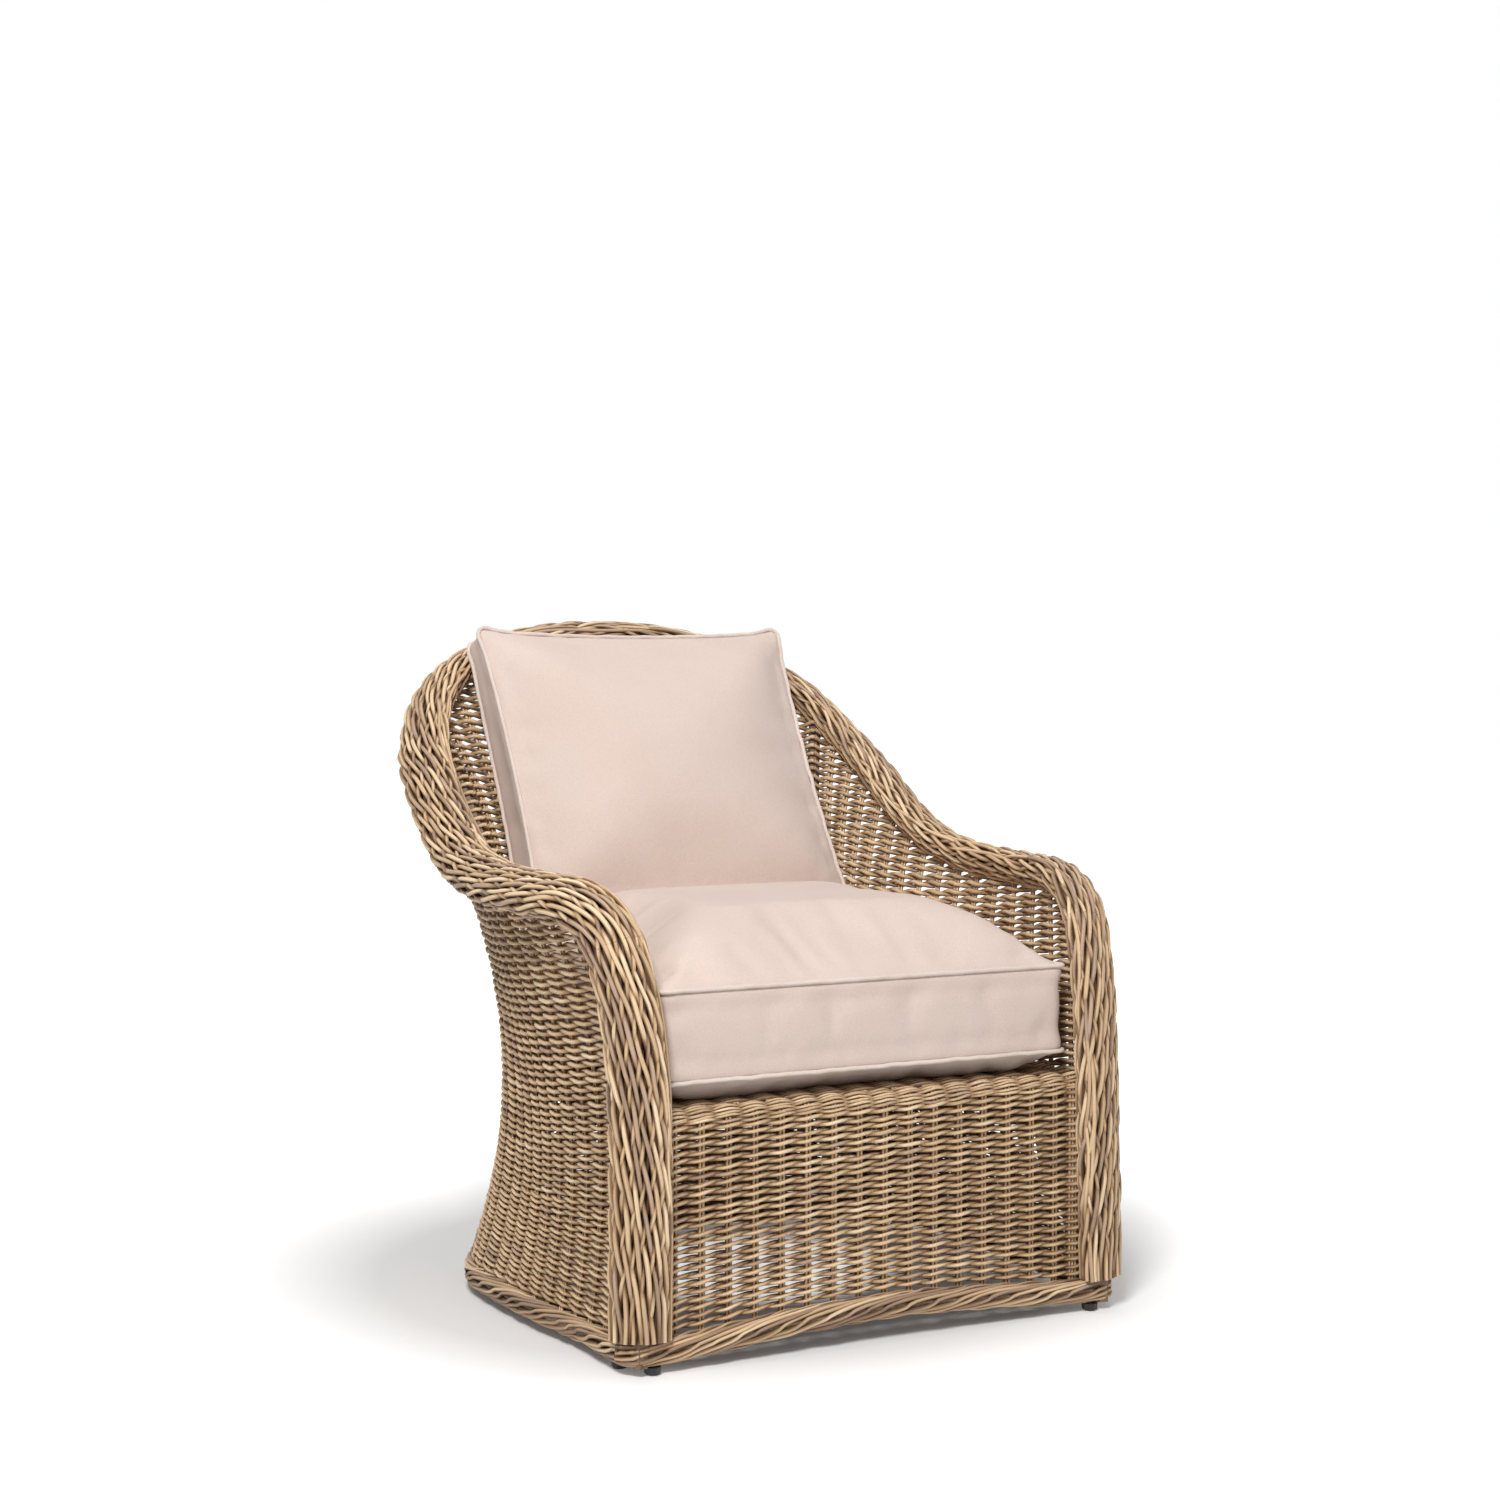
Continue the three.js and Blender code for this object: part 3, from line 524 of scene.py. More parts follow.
@dataclass
class TwinedPanel:
    """A stretch of twined weave: level rows of two canes twisted round pairs of upright stakes.

    The floats of its rows rise to the right, seen from outside the chair.
    """

    pitch: float = 0.00945
    strand_radius: float = 0.00285
    stake_radius: float = 0.0022
    stake_proud: float = 0.95
    depth: float = 0.0048
    climb: float = 0.00215
    spread: float = 0.50
    waver: float = 0.0004
    tone: float = 0.56
    tone_drift: float = 0.30
    tone_range: float = 0.14
    sunk: float = 0.30
    steps: int = 8

    def row(
        self,
        work: CaneWork,
        surface: Surface,
        stakes: Points,
        depth: Callable[[Points], Points] | None = None,
        scale: float | Points = 1.0,
    ) -> None:
        """Lay the two canes of one row.

        Args:
            work: The piece that the canes belong to.
            surface: Gives points, outward normals and upward tangents at stake counts.
            stakes: The stake counts that the row runs through.
            depth: Gives how far the canes stand off the surface at stake counts.
            scale: How much thicker than usual the canes are.
        """
        middle, normal, up = surface(stakes)
        rng = work.rng
        for strand in range(2):
            phase = math.pi * (stakes + strand)
            off = (self.depth if depth is None else depth(stakes)) * scale
            out = off * np.cos(phase) * wavering(rng, stakes, wavelength=2.3, share=0.12)
            swing = np.sign(np.sin(phase)) * np.abs(np.sin(phase)) ** self.spread
            rise = self.climb * scale * swing + self.waver * Wander(rng, 1.7)(stakes)
            line = middle + normal * out[:, None] + up * rise[:, None]
            thick = self.strand_radius * scale * rng.uniform(0.93, 1.07)
            thick = thick * wavering(rng, stakes, wavelength=3.0, share=0.05)
            tone = self.tone + self.tone_drift * Wander(rng, 6.0)(stakes)
            tone = tone + rng.uniform(-self.tone_range, self.tone_range)
            # Where the canes dive between the stakes they count as sunk: painted shade in the weave's
            # crevices.
            proud = self.sunk + (1 - self.sunk) * np.abs(np.cos(phase)) ** 0.8
            work.lay(line, thick, np.clip(tone, 0, 1), proud, up)

    def stake(self, work: CaneWork, line: Points, across: Points, count: int = 2) -> None:
        """Lay a bundle of upright stakes side by side.

        Args:
            work: The piece that the stakes belong to.
            line: The middle of the bundle.
            across: Direction in which the stakes lie side by side, at each point.
            count: How many stakes there are.
        """
        for i in range(count):
            aside = (2 * i - count + 1) * self.stake_radius * 1.04
            wobble = 0.0003 * Wander(work.rng, 0.09)(line[:, 2])
            radius = self.stake_radius * work.rng.uniform(0.94, 1.05)
            tone = work.rng.uniform(0.35, 1.0)
            work.lay(line + across * (aside + wobble)[:, None], radius, tone, self.stake_proud, across)


@dataclass
class WovenShell:
    """The sides and back: twined weave round upright poles, from the border up to the rim."""

    form: ShellForm
    weave: TwinedPanel = field(default_factory=lambda: TwinedPanel(steps=7))
    upright_place: float = 0.345
    upright_radius: float = 0.009
    side_stakes: int = 16
    back_stakes: int = 8
    post_inset: float = 0.004
    head_room: float = 0.004
    stake_step: float = 0.012
    stake_span: tuple[float, float] = (-0.01, 0.99)
    row_waver: float = 0.0006
    row_scale: tuple[float, float] = (0.84, 1.12)
    pole_gap: float = 0.0002
    pole_reach: float = 0.55
    eye_level: float = 0.82
    fall_above: float = 0.17
    fall_below: float = 0.36
    fall_blend: float = 2.2
    fall_end: float = 0.56

    def _panels(self) -> list[tuple[str, float, float, int]]:
        edge = 1 - self.post_inset
        corner = self.upright_place
        return [
            ("weave_side_left", -edge, -corner, self.side_stakes),
            ("weave_back_left", -corner, 0.0, self.back_stakes),
            ("weave_back_right", 0.0, corner, self.back_stakes),
            ("weave_side_right", corner, edge, self.side_stakes),
        ]

    def build(self) -> list[bpy.types.Object]:
        """Weave the four panels and return them."""
        return [self._panel(i, *panel) for i, panel in enumerate(self._panels())]

    def _row_level(self, level: float, places: Points) -> Points:
        """Give a row's heights: level at the posts, and falling along the sides towards the back."""
        above = self.fall_above * max(self.eye_level - level, 1e-6)
        below = self.fall_below * max(level - self.form.foot_level, 1e-6)
        fall = (above**-self.fall_blend + below**-self.fall_blend) ** (-1 / self.fall_blend)
        share = np.clip((1 - np.abs(places)) / (1 - self.fall_end), 0, 1)
        return level - fall * np.sin(0.5 * math.pi * share)

    def _panel(self, seed: int, name: str, start: float, end: float, stakes: int) -> bpy.types.Object:
        work = CaneWork(name, 100 + seed)
        weave = self.weave
        counts = np.linspace(0, stakes, stakes * weave.steps + 1)
        places = lerp(start, end, counts / stakes)
        heads = self.form.head_level(places)
        ends = [u for u, p in ((0, start), (stakes, end)) if abs(abs(p) - 1) > 2 * self.post_inset]
        rows = int((heads.max() - self.form.foot_level) / weave.pitch)
        for row in range(rows):
            wave = Wander(work.rng, 9.0)
            level = self.form.foot_level + weave.pitch * (row + 0.5)
            inside = heads - self.head_room > self._row_level(level, places)
            step = self._row_level(level + weave.pitch, places) - self._row_level(level, places)
            scale = np.clip(step / weave.pitch, *self.row_scale)

            def surface(u: Points, level: float = level, wave: Wander = wave) -> Axes:
                place = lerp(start, end, u / stakes)
                row_level = self._row_level(level, place) + self.row_waver * wave(u)
                return self.form.axes(place, self.form.height(place, row_level))

            def depth(u: Points) -> Points:
                reach = weave.depth * np.ones_like(u)
                full = self.upright_radius + weave.strand_radius + self.pole_gap
                for pole in ends:
                    near = np.exp(-(((u - pole) / self.pole_reach) ** 2))
                    reach = np.maximum(reach, full * near)
                return reach

            for run in self._runs(inside):
                weave.row(work, surface, counts[run], depth, scale[run])
        for count in range(stakes + 1):
            if count in ends:
                continue
            self._stake(work, float(lerp(start, end, count / stakes)))
        return work.build()

    @staticmethod
    def _runs(inside: Points) -> list[slice]:
        """Give the unbroken stretches where a row lies below the rim."""
        edges = np.flatnonzero(np.diff(np.concatenate(((0,), inside.astype(int), (0,)))))
        return [slice(a, b) for a, b in zip(edges[::2], edges[1::2]) if b - a > 2]

    def _stake(self, work: CaneWork, place: float) -> None:
        """Lay the pair of stakes at one place."""
        tall = float(self.form.head_level(np.array(place))) - self.form.foot_level
        heights = np.linspace(*self.stake_span, max(int(tall / self.stake_step), 3))
        line, normal, up = self.form.axes(np.full_like(heights, place), heights)
        self.weave.stake(work, line, unit(np.cross(normal, up)))


@dataclass
class Apron:
    """The woven front below the seat, with the rolled edge over the seat's front rail."""

    weave: TwinedPanel = field(
        default_factory=lambda: TwinedPanel(strand_radius=0.0026, climb=0.0014, spread=0.7, depth=0.0044)
    )
    first_stake: float = -0.273
    stake_pitch: float = 0.0356
    stakes: int = 16
    bundle: int = 2
    end_stake: float = 0.2885
    end_bundle: int = 3
    row_waver: float = 0.0007
    half_width: float = 0.300
    middle_y: float = 0.002
    foot_level: float = 0.0423
    rail_level: float = 0.2827
    rail_y: float = 0.0163
    roll_radius: float = 0.0142
    arch: float = 0.016
    arch_half_span: float = 0.288
    arch_power: float = 1.2
    rows: int = 25
    roll_rows: int = 6
    roll_scale: float = 0.78
    roll_start: float = 0.35
    roll_waver: float = 0.06

    def arch_rise(self, x: Points) -> Points:
        """Give how far the border is raised at places across the front."""
        share = np.minimum(np.abs(x) / self.arch_half_span, 1)
        return self.arch * np.maximum(np.cos(0.5 * math.pi * share), 0) ** self.arch_power

    def build(self) -> list[bpy.types.Object]:
        """Weave the apron and its rolled top edge."""
        counts = self._counts()
        work = CaneWork("apron_weave", 200)
        for row in range(self.rows):
            wave = Wander(work.rng, 7.0)
            share = (row + 0.5) / self.rows

            def surface(u: Points, share: float = share, wave: Wander = wave) -> Axes:
                return self._front(u, share, self.row_waver * wave(u))

            self.weave.row(work, surface, counts)
        for count in range(self.stakes):
            self._stake(work, self.first_stake + self.stake_pitch * count, self.bundle)
        for side in (-1, 1):
            self._stake(work, side * self.end_stake, self.end_bundle)
        apron = work.build()
        roll = CaneWork("seat_front_roll", 201, sides=8)
        for row in range(self.roll_rows):
            turn = math.pi * (1 - 0.5 * (row + self.roll_start) / self.roll_rows)
            wave = Wander(roll.rng, 3.0)

            def rolled(u: Points, turn: float = turn, wave: Wander = wave) -> Axes:
                return self._rolled(u, turn + self.roll_waver * wave(u))

            self.weave.row(roll, rolled, counts, scale=self.roll_scale)
        return [apron, roll.build()]

    def _counts(self) -> Points:
        ends = [(side * self.half_width - self.first_stake) / self.stake_pitch for side in (-1, 1)]
        return np.linspace(*ends, int((ends[1] - ends[0]) * self.weave.steps) + 1)

    def _front(self, counts: Points, share: float, wave: Points) -> Axes:
        x = self.first_stake + self.stake_pitch * counts
        foot = self.foot_level + self.arch_rise(x)
        z = lerp(foot, self.rail_level, share) + wave
        middle = columns(x, self.middle_y, z)
        normal = np.broadcast_to((0.0, -1.0, 0.0), middle.shape)
        return middle, normal, np.broadcast_to((0.0, 0.0, 1.0), middle.shape)

    def _rolled(self, counts: Points, turn: Points) -> Axes:
        x = self.first_stake + self.stake_pitch * counts
        normal = columns(0.0, np.cos(turn), np.sin(turn))
        middle = np.array((0, self.rail_y, self.rail_level)) + normal * self.roll_radius
        middle[:, 0] = x
        return middle, normal, columns(0.0, np.sin(turn), -np.cos(turn))

    def _stake(self, work: CaneWork, x: float, count: int) -> None:
        """Lay one bundle of stakes, from the border up and over the rail."""
        foot = self.foot_level - 0.004 + float(self.arch_rise(np.array(x)))
        z = np.linspace(foot, self.rail_level, 18)
        straight = columns(x, self.middle_y, z)
        turns = np.linspace(0.95 * math.pi, 0.5 * math.pi, 5)
        reach = self.roll_radius * columns(0.0, np.cos(turns), np.sin(turns))
        over = reach + np.array((x, self.rail_y, self.rail_level))
        line = np.vstack((straight, over))
        self.weave.stake(work, line, np.broadcast_to((1.0, 0.0, 0.0), line.shape), count)


@dataclass
class SeatDeck:
    """The woven deck under the seat cushion."""

    form: ShellForm
    weave: TwinedPanel = field(default_factory=lambda: TwinedPanel(depth=0.0026, climb=0.0016, steps=6))
    level: float = 0.296
    front_y: float = 0.030
    pitch: float = 0.0105
    stake_pitch: float = 0.044
    edge_room: float = 0.008

    def build(self) -> bpy.types.Object:
        """Weave the deck."""
        work = CaneWork("seat_deck_weave", 300)
        place = np.linspace(0, 1, 200)
        edge = self.form.point(place, self.form.height(place, self.level))
        order = np.argsort(edge[:, 1])
        edge_y, edge_x = edge[order, 1], edge[order, 0] - self.edge_room
        back_y = float(edge_y[-1]) - self.edge_room
        rows = int((back_y - self.front_y) / self.pitch)
        for row in range(rows):
            y = self.front_y + self.pitch * (row + 0.5)
            half = float(np.interp(y, edge_y, edge_x))
            if half < self.stake_pitch:
                continue
            number = int(2 * half / self.stake_pitch * self.weave.steps)
            counts = np.linspace(-half, half, number) / self.stake_pitch

            def surface(u: Points, y: float = y) -> Axes:
                middle = columns(u * self.stake_pitch, y, self.level)
                normal = np.broadcast_to((0.0, 0.0, 1.0), middle.shape)
                return middle, normal, np.broadcast_to((0.0, 1.0, 0.0), middle.shape)

            self.weave.row(work, surface, counts)
        reach = int(float(edge_x.max()) / self.stake_pitch)
        for count in range(-reach, reach + 1):
            x = count * self.stake_pitch
            far = float(edge_y[edge_x > abs(x)].max())
            y = np.linspace(self.front_y, far, 24)
            line = columns(x, y, self.level)
            self.weave.stake(work, line, np.broadcast_to((1.0, 0.0, 0.0), line.shape))
        return work.build()


@dataclass
class PlaitedRim:
    """The plait of canes over the rim and down the posts: two sets wound opposite ways.

    On each side of the chair one set lies on top. It drifts outwards over the face on its way up from
    the post, so the two sides mirror each other. A few more canes run along the inner edge.
    """

    rim: RimPath
    half_width: float = 0.0365
    half_thickness: float = 0.023
    cane_radius: float = 0.0029
    lift: float = 0.0021
    stand: float = 0.0008
    canes_each_way: int = 21
    angle: float = math.radians(9)
    step: float = 0.0056
    foot_straight: float = 0.030
    packing: int = 9
    packing_radius: float = 0.0042
    packing_step: float = 0.016
    edge_turns: tuple[float, ...] = (2.72, 2.94, 3.17)
    edge_wave: float = 0.30

    @property
    def centre_axes(self) -> tuple[float, float]:
        """Half axes of the oval that the canes' centres lie on."""
        inset = self.cane_radius + self.lift
        return self.half_width - inset, self.half_thickness - inset

    def _oval(self) -> tuple[Points, Points, float]:
        """Give even shares of the oval's length, the turns at them, and its length."""
        turn = np.linspace(0, 2 * math.pi, 721)
        a, b = self.centre_axes
        ring = np.stack((a * np.cos(turn), b * np.sin(turn)), axis=-1)
        reach = reach_along(ring)
        return reach / reach[-1], turn, float(reach[-1])

    def build(self) -> list[bpy.types.Object]:
        """Plait the five stretches and return them."""
        rim = self.rim
        post = rim.post_length / rim.length
        arm = (rim.post_length + rim.arm_length) / rim.length
        stretches = [
            ("post_braid_left", 0.0, post), ("arm_braid_left", post, arm), ("back_rim_braid", arm, 1 - arm),
            ("arm_braid_right", 1 - arm, 1 - post), ("post_braid_right", 1 - post, 1.0),
        ]
        count = int(rim.length / self.step)
        shares = np.linspace(0, 1, count + 1)
        works = [CaneWork(stretch[0], 400 + i, sides=8) for i, stretch in enumerate(stretches)]
        rng = np.random.default_rng(399)
        for way in (-1, 1):
            for cane in range(self.canes_each_way):
                self._share_out(works, stretches, self._cane(rng, shares, way, cane))
        for turn in self.edge_turns:
            self._share_out(works, stretches, self._edge_cane(rng, shares, turn))
        for work, (_, start, end) in zip(works, stretches):
            self._pack(work, start, end)
        return [work.build() for work in works]

    @staticmethod
    def _share_out(
        works: list[CaneWork], stretches: list[tuple[str, float, float]], cane: tuple[Points, ...]
    ) -> None:
        """Cut a cane into the stretches that it runs through."""
        line, across, radius, proud, tone = cane
        count = len(line) - 1
        for work, (_, start, end) in zip(works, stretches):
            part = slice(int(round(start * count)), int(round(end * count)) + 1)
            work.lay(line[part], radius[part], tone[part], proud[part], across[part])

    def _place(self, shares: Points, turn: Points, lift: Points) -> tuple[Points, Points]:
        """Give points at turns round the plait's oval, lifted off it, and the directions across them."""
        centre, broad, facing = self.rim.section(shares)
        a, b = self.centre_axes
        cos, sin = np.cos(turn), np.sin(turn)
        out = unit(np.stack((cos / a, sin / b), axis=-1))
        off = np.stack((a * cos, b * sin), axis=-1) + out * lift[:, None]
        line = centre + broad * off[:, :1] + facing * off[:, 1:]
        away = broad * out[:, :1] + facing * out[:, 1:]
        return line, unit(np.cross(np.gradient(line, axis=0), away))

    def _edge_cane(self, rng: np.random.Generator, shares: Points, turn: float) -> tuple[Points, ...]:
        """Give a cane that runs along the inner edge, over and under the others by turns."""
        reach = shares * self.rim.length
        phase = rng.uniform(0, 2 * math.pi)
        wave = np.sin(2 * math.pi * reach / self.edge_wave + phase + 0.8 * Wander(rng, 0.5)(reach))
        raised = smooth(0.5 + 0.9 * wave)
        lift = self.lift * lerp(-1.0, 1.7, raised)
        sway = 0.13 * Wander(rng, 0.22)(reach) - 0.10 * wave
        radius = self.cane_radius * 0.96 * wavering(rng, reach, wavelength=0.2, share=0.05)
        tone = rng.random(64)[(reach / self.edge_wave + 0.5).astype(int)]
        # Where the edge cane dives under the others it gets painted shade.
        return *self._place(shares, turn + sway, lift), radius, lerp(0.15, 1.0, raised), tone

    def _cane(self, rng: np.random.Generator, shares: Points, way: int, cane: int) -> tuple[Points, ...]:
        """Give one cane's centre line, radii, proudness and tones along the whole rim."""
        even, turns, girth = self._oval()
        reach = shares * self.rim.length
        foot = self.foot_straight
        eased = reach + foot * np.exp(-reach / foot) - foot * np.exp((reach - self.rim.length) / foot)
        lead = girth / math.tan(self.angle)
        count = self.canes_each_way
        crossings = 2 * count * eased / lead
        drift = 0.20 / count * Wander(rng, 0.12)(reach)
        share = (cane / count + way * eased / lead + drift) % 1
        turn = np.interp(share, even, turns)
        middle = 0.5 * (eased[0] + eased[-1]) * 2 * count / lead
        over = self._over(crossings, cane, way, middle)
        on_top = -way * np.tanh((middle - crossings) / 1.5)
        ends = smooth(np.minimum(reach, self.rim.length - reach) / (2 * foot))
        lift = self.lift * over * lerp(0.35, 1.0, ends)
        lift = lift * wavering(rng, reach, wavelength=0.05, share=0.15)
        lift = lift + self.stand * on_top
        radius = self.cane_radius * rng.uniform(0.92, 1.08)
        radius = radius * wavering(rng, reach, wavelength=0.2, share=0.05)
        radius = radius * (1 + 0.04 * on_top)
        # Canes that pass under their crossings, and the set lying lower, get painted shade.
        proud = np.clip(0.52 + 0.36 * over + 0.14 * on_top, 0, 1)
        dives = np.floor((crossings * way + 2 * cane - 1.5) / 3).astype(int)
        tone = rng.random(256)[(dives // 4) % 256]
        return *self._place(shares, turn, lift), radius, proud, tone

    @staticmethod
    def _over(crossings: Points, cane: int, way: int, middle: float) -> Points:
        """Say how far over (1) or under (-1) its crossings a cane lies: over two, under one.

        Args:
            crossings: Counts of the crossings that the cane has passed.
            cane: Its number in its set.
            way: Its set.
            middle: The count at the middle of the back, where the two sets change places.
        """
        first = np.floor(crossings).astype(int)

        def side(crossing: Points) -> Points:
            under = (2 * cane + way * crossing) % 3 == 2
            top = np.where(crossing < middle, -way, way)
            return np.where(under, -top, top).astype(float)

        return lerp(side(first), side(first + 1), smooth(crossings - first))

    def _pack(self, work: CaneWork, start: float, end: float) -> None:
        """Lay the straight canes that fill the plait round its pole, near-black as painted shade seen
        through the gaps.
        """
        shares = np.linspace(start, end, max(int((end - start) * self.rim.length / self.packing_step), 4))
        centre, broad, facing = self.rim.section(shares)
        a, b = (axis - self.cane_radius - self.lift - self.packing_radius for axis in self.centre_axes)
        for i in range(self.packing):
            turn = 2 * math.pi * (i + 0.5) / self.packing
            line = centre + broad * (a * math.cos(turn)) + facing * (b * math.sin(turn))
            # A tone of -1 gives the packing its near-black colour, painted shade inside the plait.
            work.lay(line, self.packing_radius, tone=-1.0)


@dataclass
class RopeBorder:
    """The rope border round the foot: long canes wound at a low angle."""

    form: ShellForm
    apron: Apron
    front_half: float = 0.320
    front_y: float = -0.010
    corner: float = 0.016
    side_x: float = 0.336
    middle_level: float = 0.026
    half_width: float = 0.014
    half_height: float = 0.016
    squareness: float = 3.2
    girth_share: float = 0.86
    cane_radius: float = 0.0028
    canes: int = 15
    angle: float = math.radians(13)
    step: float = 0.008
    sway: float = 0.10
    sink: float = 0.0011
    # proud darkens every border cane a little, besides their flanks: painted shade.
    proud: float = 0.76
    side_share: float = 0.458
    spans: float = 16.6
    start_span: float = 1.6
    ease_spans: float = 3
    packing: int = 6
    packing_inset: float = 0.0088
    packing_radius: float = 0.0048

    def _loop(self) -> tuple[Points, float, float]:
        """Give the border's closed middle line, and the reach where its right side starts and ends."""
        front = columns(np.linspace(-self.front_half, self.front_half, 80), self.front_y)
        turn = np.linspace(0, 0.5 * math.pi, 9)[1:]
        right = columns(
            self.front_half + self.corner * np.sin(turn),
            self.front_y + self.corner * (1 - np.cos(turn)),
        )
        share = np.linspace(self.start_span / self.spans, 1, 140)
        half = self.form.base(share)
        ease = smooth((share - share[0]) * self.spans / self.ease_spans)
        half[:, 0] = lerp(self.side_x, half[:, 0], ease)
        mirror = np.array((-1, 1))
        plan = np.vstack((front, right, half, half[-2::-1] * mirror, right[::-1] * mirror))
        plan = np.vstack((plan, plan[:1]))
        reach = reach_along(plan)
        corner_end = len(front) + len(right) - 1
        side_end = corner_end + 1 + int(np.argmin(np.abs(share - self.side_share)))
        return np.column_stack((plan, reach)), float(reach[corner_end]), float(reach[side_end])

    def build(self) -> list[bpy.types.Object]:
        """Wind the four stretches of the border and return them."""
        loop, front_end, right_end = self._loop()
        corner_length = front_end - 2 * self.front_half
        left_end = float(loop[-1, 2]) - corner_length
        left_start = left_end - (right_end - front_end)
        stretches = [
            ("border_front", -corner_length, front_end),
            ("border_right", front_end, right_end),
            ("border_back", right_end, left_start),
            ("border_left", left_start, left_end),
        ]
        return [self._stretch(i, *stretch, loop) for i, stretch in enumerate(stretches)]

    def _frame(self, reach: Points, loop: Points) -> tuple[Points, Points]:
        """Give middle points and outward directions at lengths round the loop."""

        def at(length: Points) -> Points:
            length = length % float(loop[-1, 2])
            return columns(*(np.interp(length, loop[:, 2], loop[:, i]) for i in range(2)))

        middle = at(reach)
        along = unit(at(reach + 0.004) - at(reach - 0.004))
        outward = columns(along[:, 1], -along[:, 0], 0.0)
        on_front = middle[:, 1] < self.front_y + self.corner
        rise = np.where(on_front, self.apron.arch_rise(middle[:, 0]), 0.0)
        return np.column_stack((middle, self.middle_level + rise)), outward

    def _wound(self, middle: Points, outward: Points, turn: Points, inset: Points | float) -> Points:
        """Give a line that runs round the border's middle line at these turns of its rounded section."""
        power = 2 / self.squareness
        cos, sin = np.cos(turn), np.sin(turn)
        out = (self.half_width - inset) * np.sign(cos) * np.abs(cos) ** power
        line = middle + outward * out[:, None]
        line[:, 2] += (self.half_height - inset) * np.sign(sin) * np.abs(sin) ** power
        return line

    def _stretch(self, seed: int, name: str, start: float, end: float, loop: Points) -> bpy.types.Object:
        work = CaneWork(name, 500 + seed, sides=8)
        tones = np.random.default_rng(510).random(self.canes)
        reach = np.linspace(start, end, int((end - start) / self.step) + 2)
        middle, outward = self._frame(reach, loop)
        girth = 4 * (self.half_width + self.half_height) * self.girth_share
        lead = girth / math.tan(self.angle)
        for cane in range(self.canes):
            rng = np.random.default_rng(520 + cane)
            sway = self.sway * Wander(rng, 0.16)(reach)
            turn = 2 * math.pi * (cane / self.canes + reach / lead) + sway
            inset = self.cane_radius + self.sink + self.sink * Wander(rng, 0.07)(reach)
            line = self._wound(middle, outward, turn, inset)
            across = unit(np.cross(np.gradient(line, axis=0), line - middle))
            radius = self.cane_radius * rng.uniform(0.92, 1.08)
            work.lay(line, radius, float(tones[cane]), self.proud, across)
        for i in range(self.packing):
            turn = np.full(len(reach), 2 * math.pi * (i + 0.5) / self.packing)
            line = self._wound(middle, outward, turn, self.packing_inset)
            # A tone of -1 gives the packing its near-black colour, painted shade inside the border.
            work.lay(line, self.packing_radius, tone=-1.0)
        return work.build()


# ----------------------------------------------------------------------------------------- cushions


CLOTH = {
    "quality": 5,
    "mass": 0.3,
    "tension_stiffness": 10,
    "compression_stiffness": 10,
    "shear_stiffness": 3,
    "bending_stiffness": 0.12,
    "use_pressure": True,
}
"""How the covers' cloth behaves while it is blown up."""


@dataclass(frozen=True)
class SeamOutline:
    """A cushion's seam: a rectangle with round corners whose sides are drawn in between them."""

    half_width: float
    near: float
    far: float
    near_corner: float
    far_corner: float
    draw_in: float
    near_ear: float = 0.0
    far_ear: float = 0.0
    far_dip: float = 0.0
    ear_reach: float = 0.022
    ear_spread: float = 0.45
    draw_power: float = 0.7
    spacing: float = 0.007

    def points(self) -> Points:
        """Give the outline's points, anticlockwise from the near left corner."""
        rows: list[tuple[float, float]] = []
        w, n, f = self.half_width, self.near_corner, self.far_corner

        def side(a: tuple[float, float], b: tuple[float, float], pull: float, dip: float = 0.0) -> None:
            count = max(int(math.dist(a, b) / self.spacing), 2)
            for i in range(1, count):
                t = i / count
                drawn = math.sin(math.pi * t) ** self.draw_power
                rows.append((lerp(a[0], b[0], t) + pull * drawn, lerp(a[1], b[1], t) - dip * drawn))

        def corner(cx: float, cy: float, radius: float, start: float) -> None:
            count = max(int(0.5 * math.pi * radius / self.spacing), 4)
            for i in range(count + 1):
                turn = math.radians(start + 90 * i / count)
                rows.append((cx + radius * math.cos(turn), cy + radius * math.sin(turn)))

        side((n - w, self.near), (w - n, self.near), 0)
        corner(w - n, self.near + n, n, -90)
        side((w, self.near + n), (w, self.far - f), -self.draw_in)
        corner(w - f, self.far - f, f, 0)
        side((w - f, self.far), (f - w, self.far), 0, self.far_dip)
        corner(f - w, self.far - f, f, 90)
        side((-w, self.far - f), (-w, self.near + n), self.draw_in)
        corner(n - w, self.near + n, n, 180)
        outline = np.array(rows)
        for y, ear, up in ((self.near, self.near_ear, -1.0), (self.far, self.far_ear, 1.0)):
            for x in (-w, w):
                near = np.exp(-((np.linalg.norm(outline - (x, y), axis=1) / self.ear_reach) ** 2))
                outline = outline + near[:, None] * ear * np.array((self.ear_spread * np.sign(x), up))
        return outline


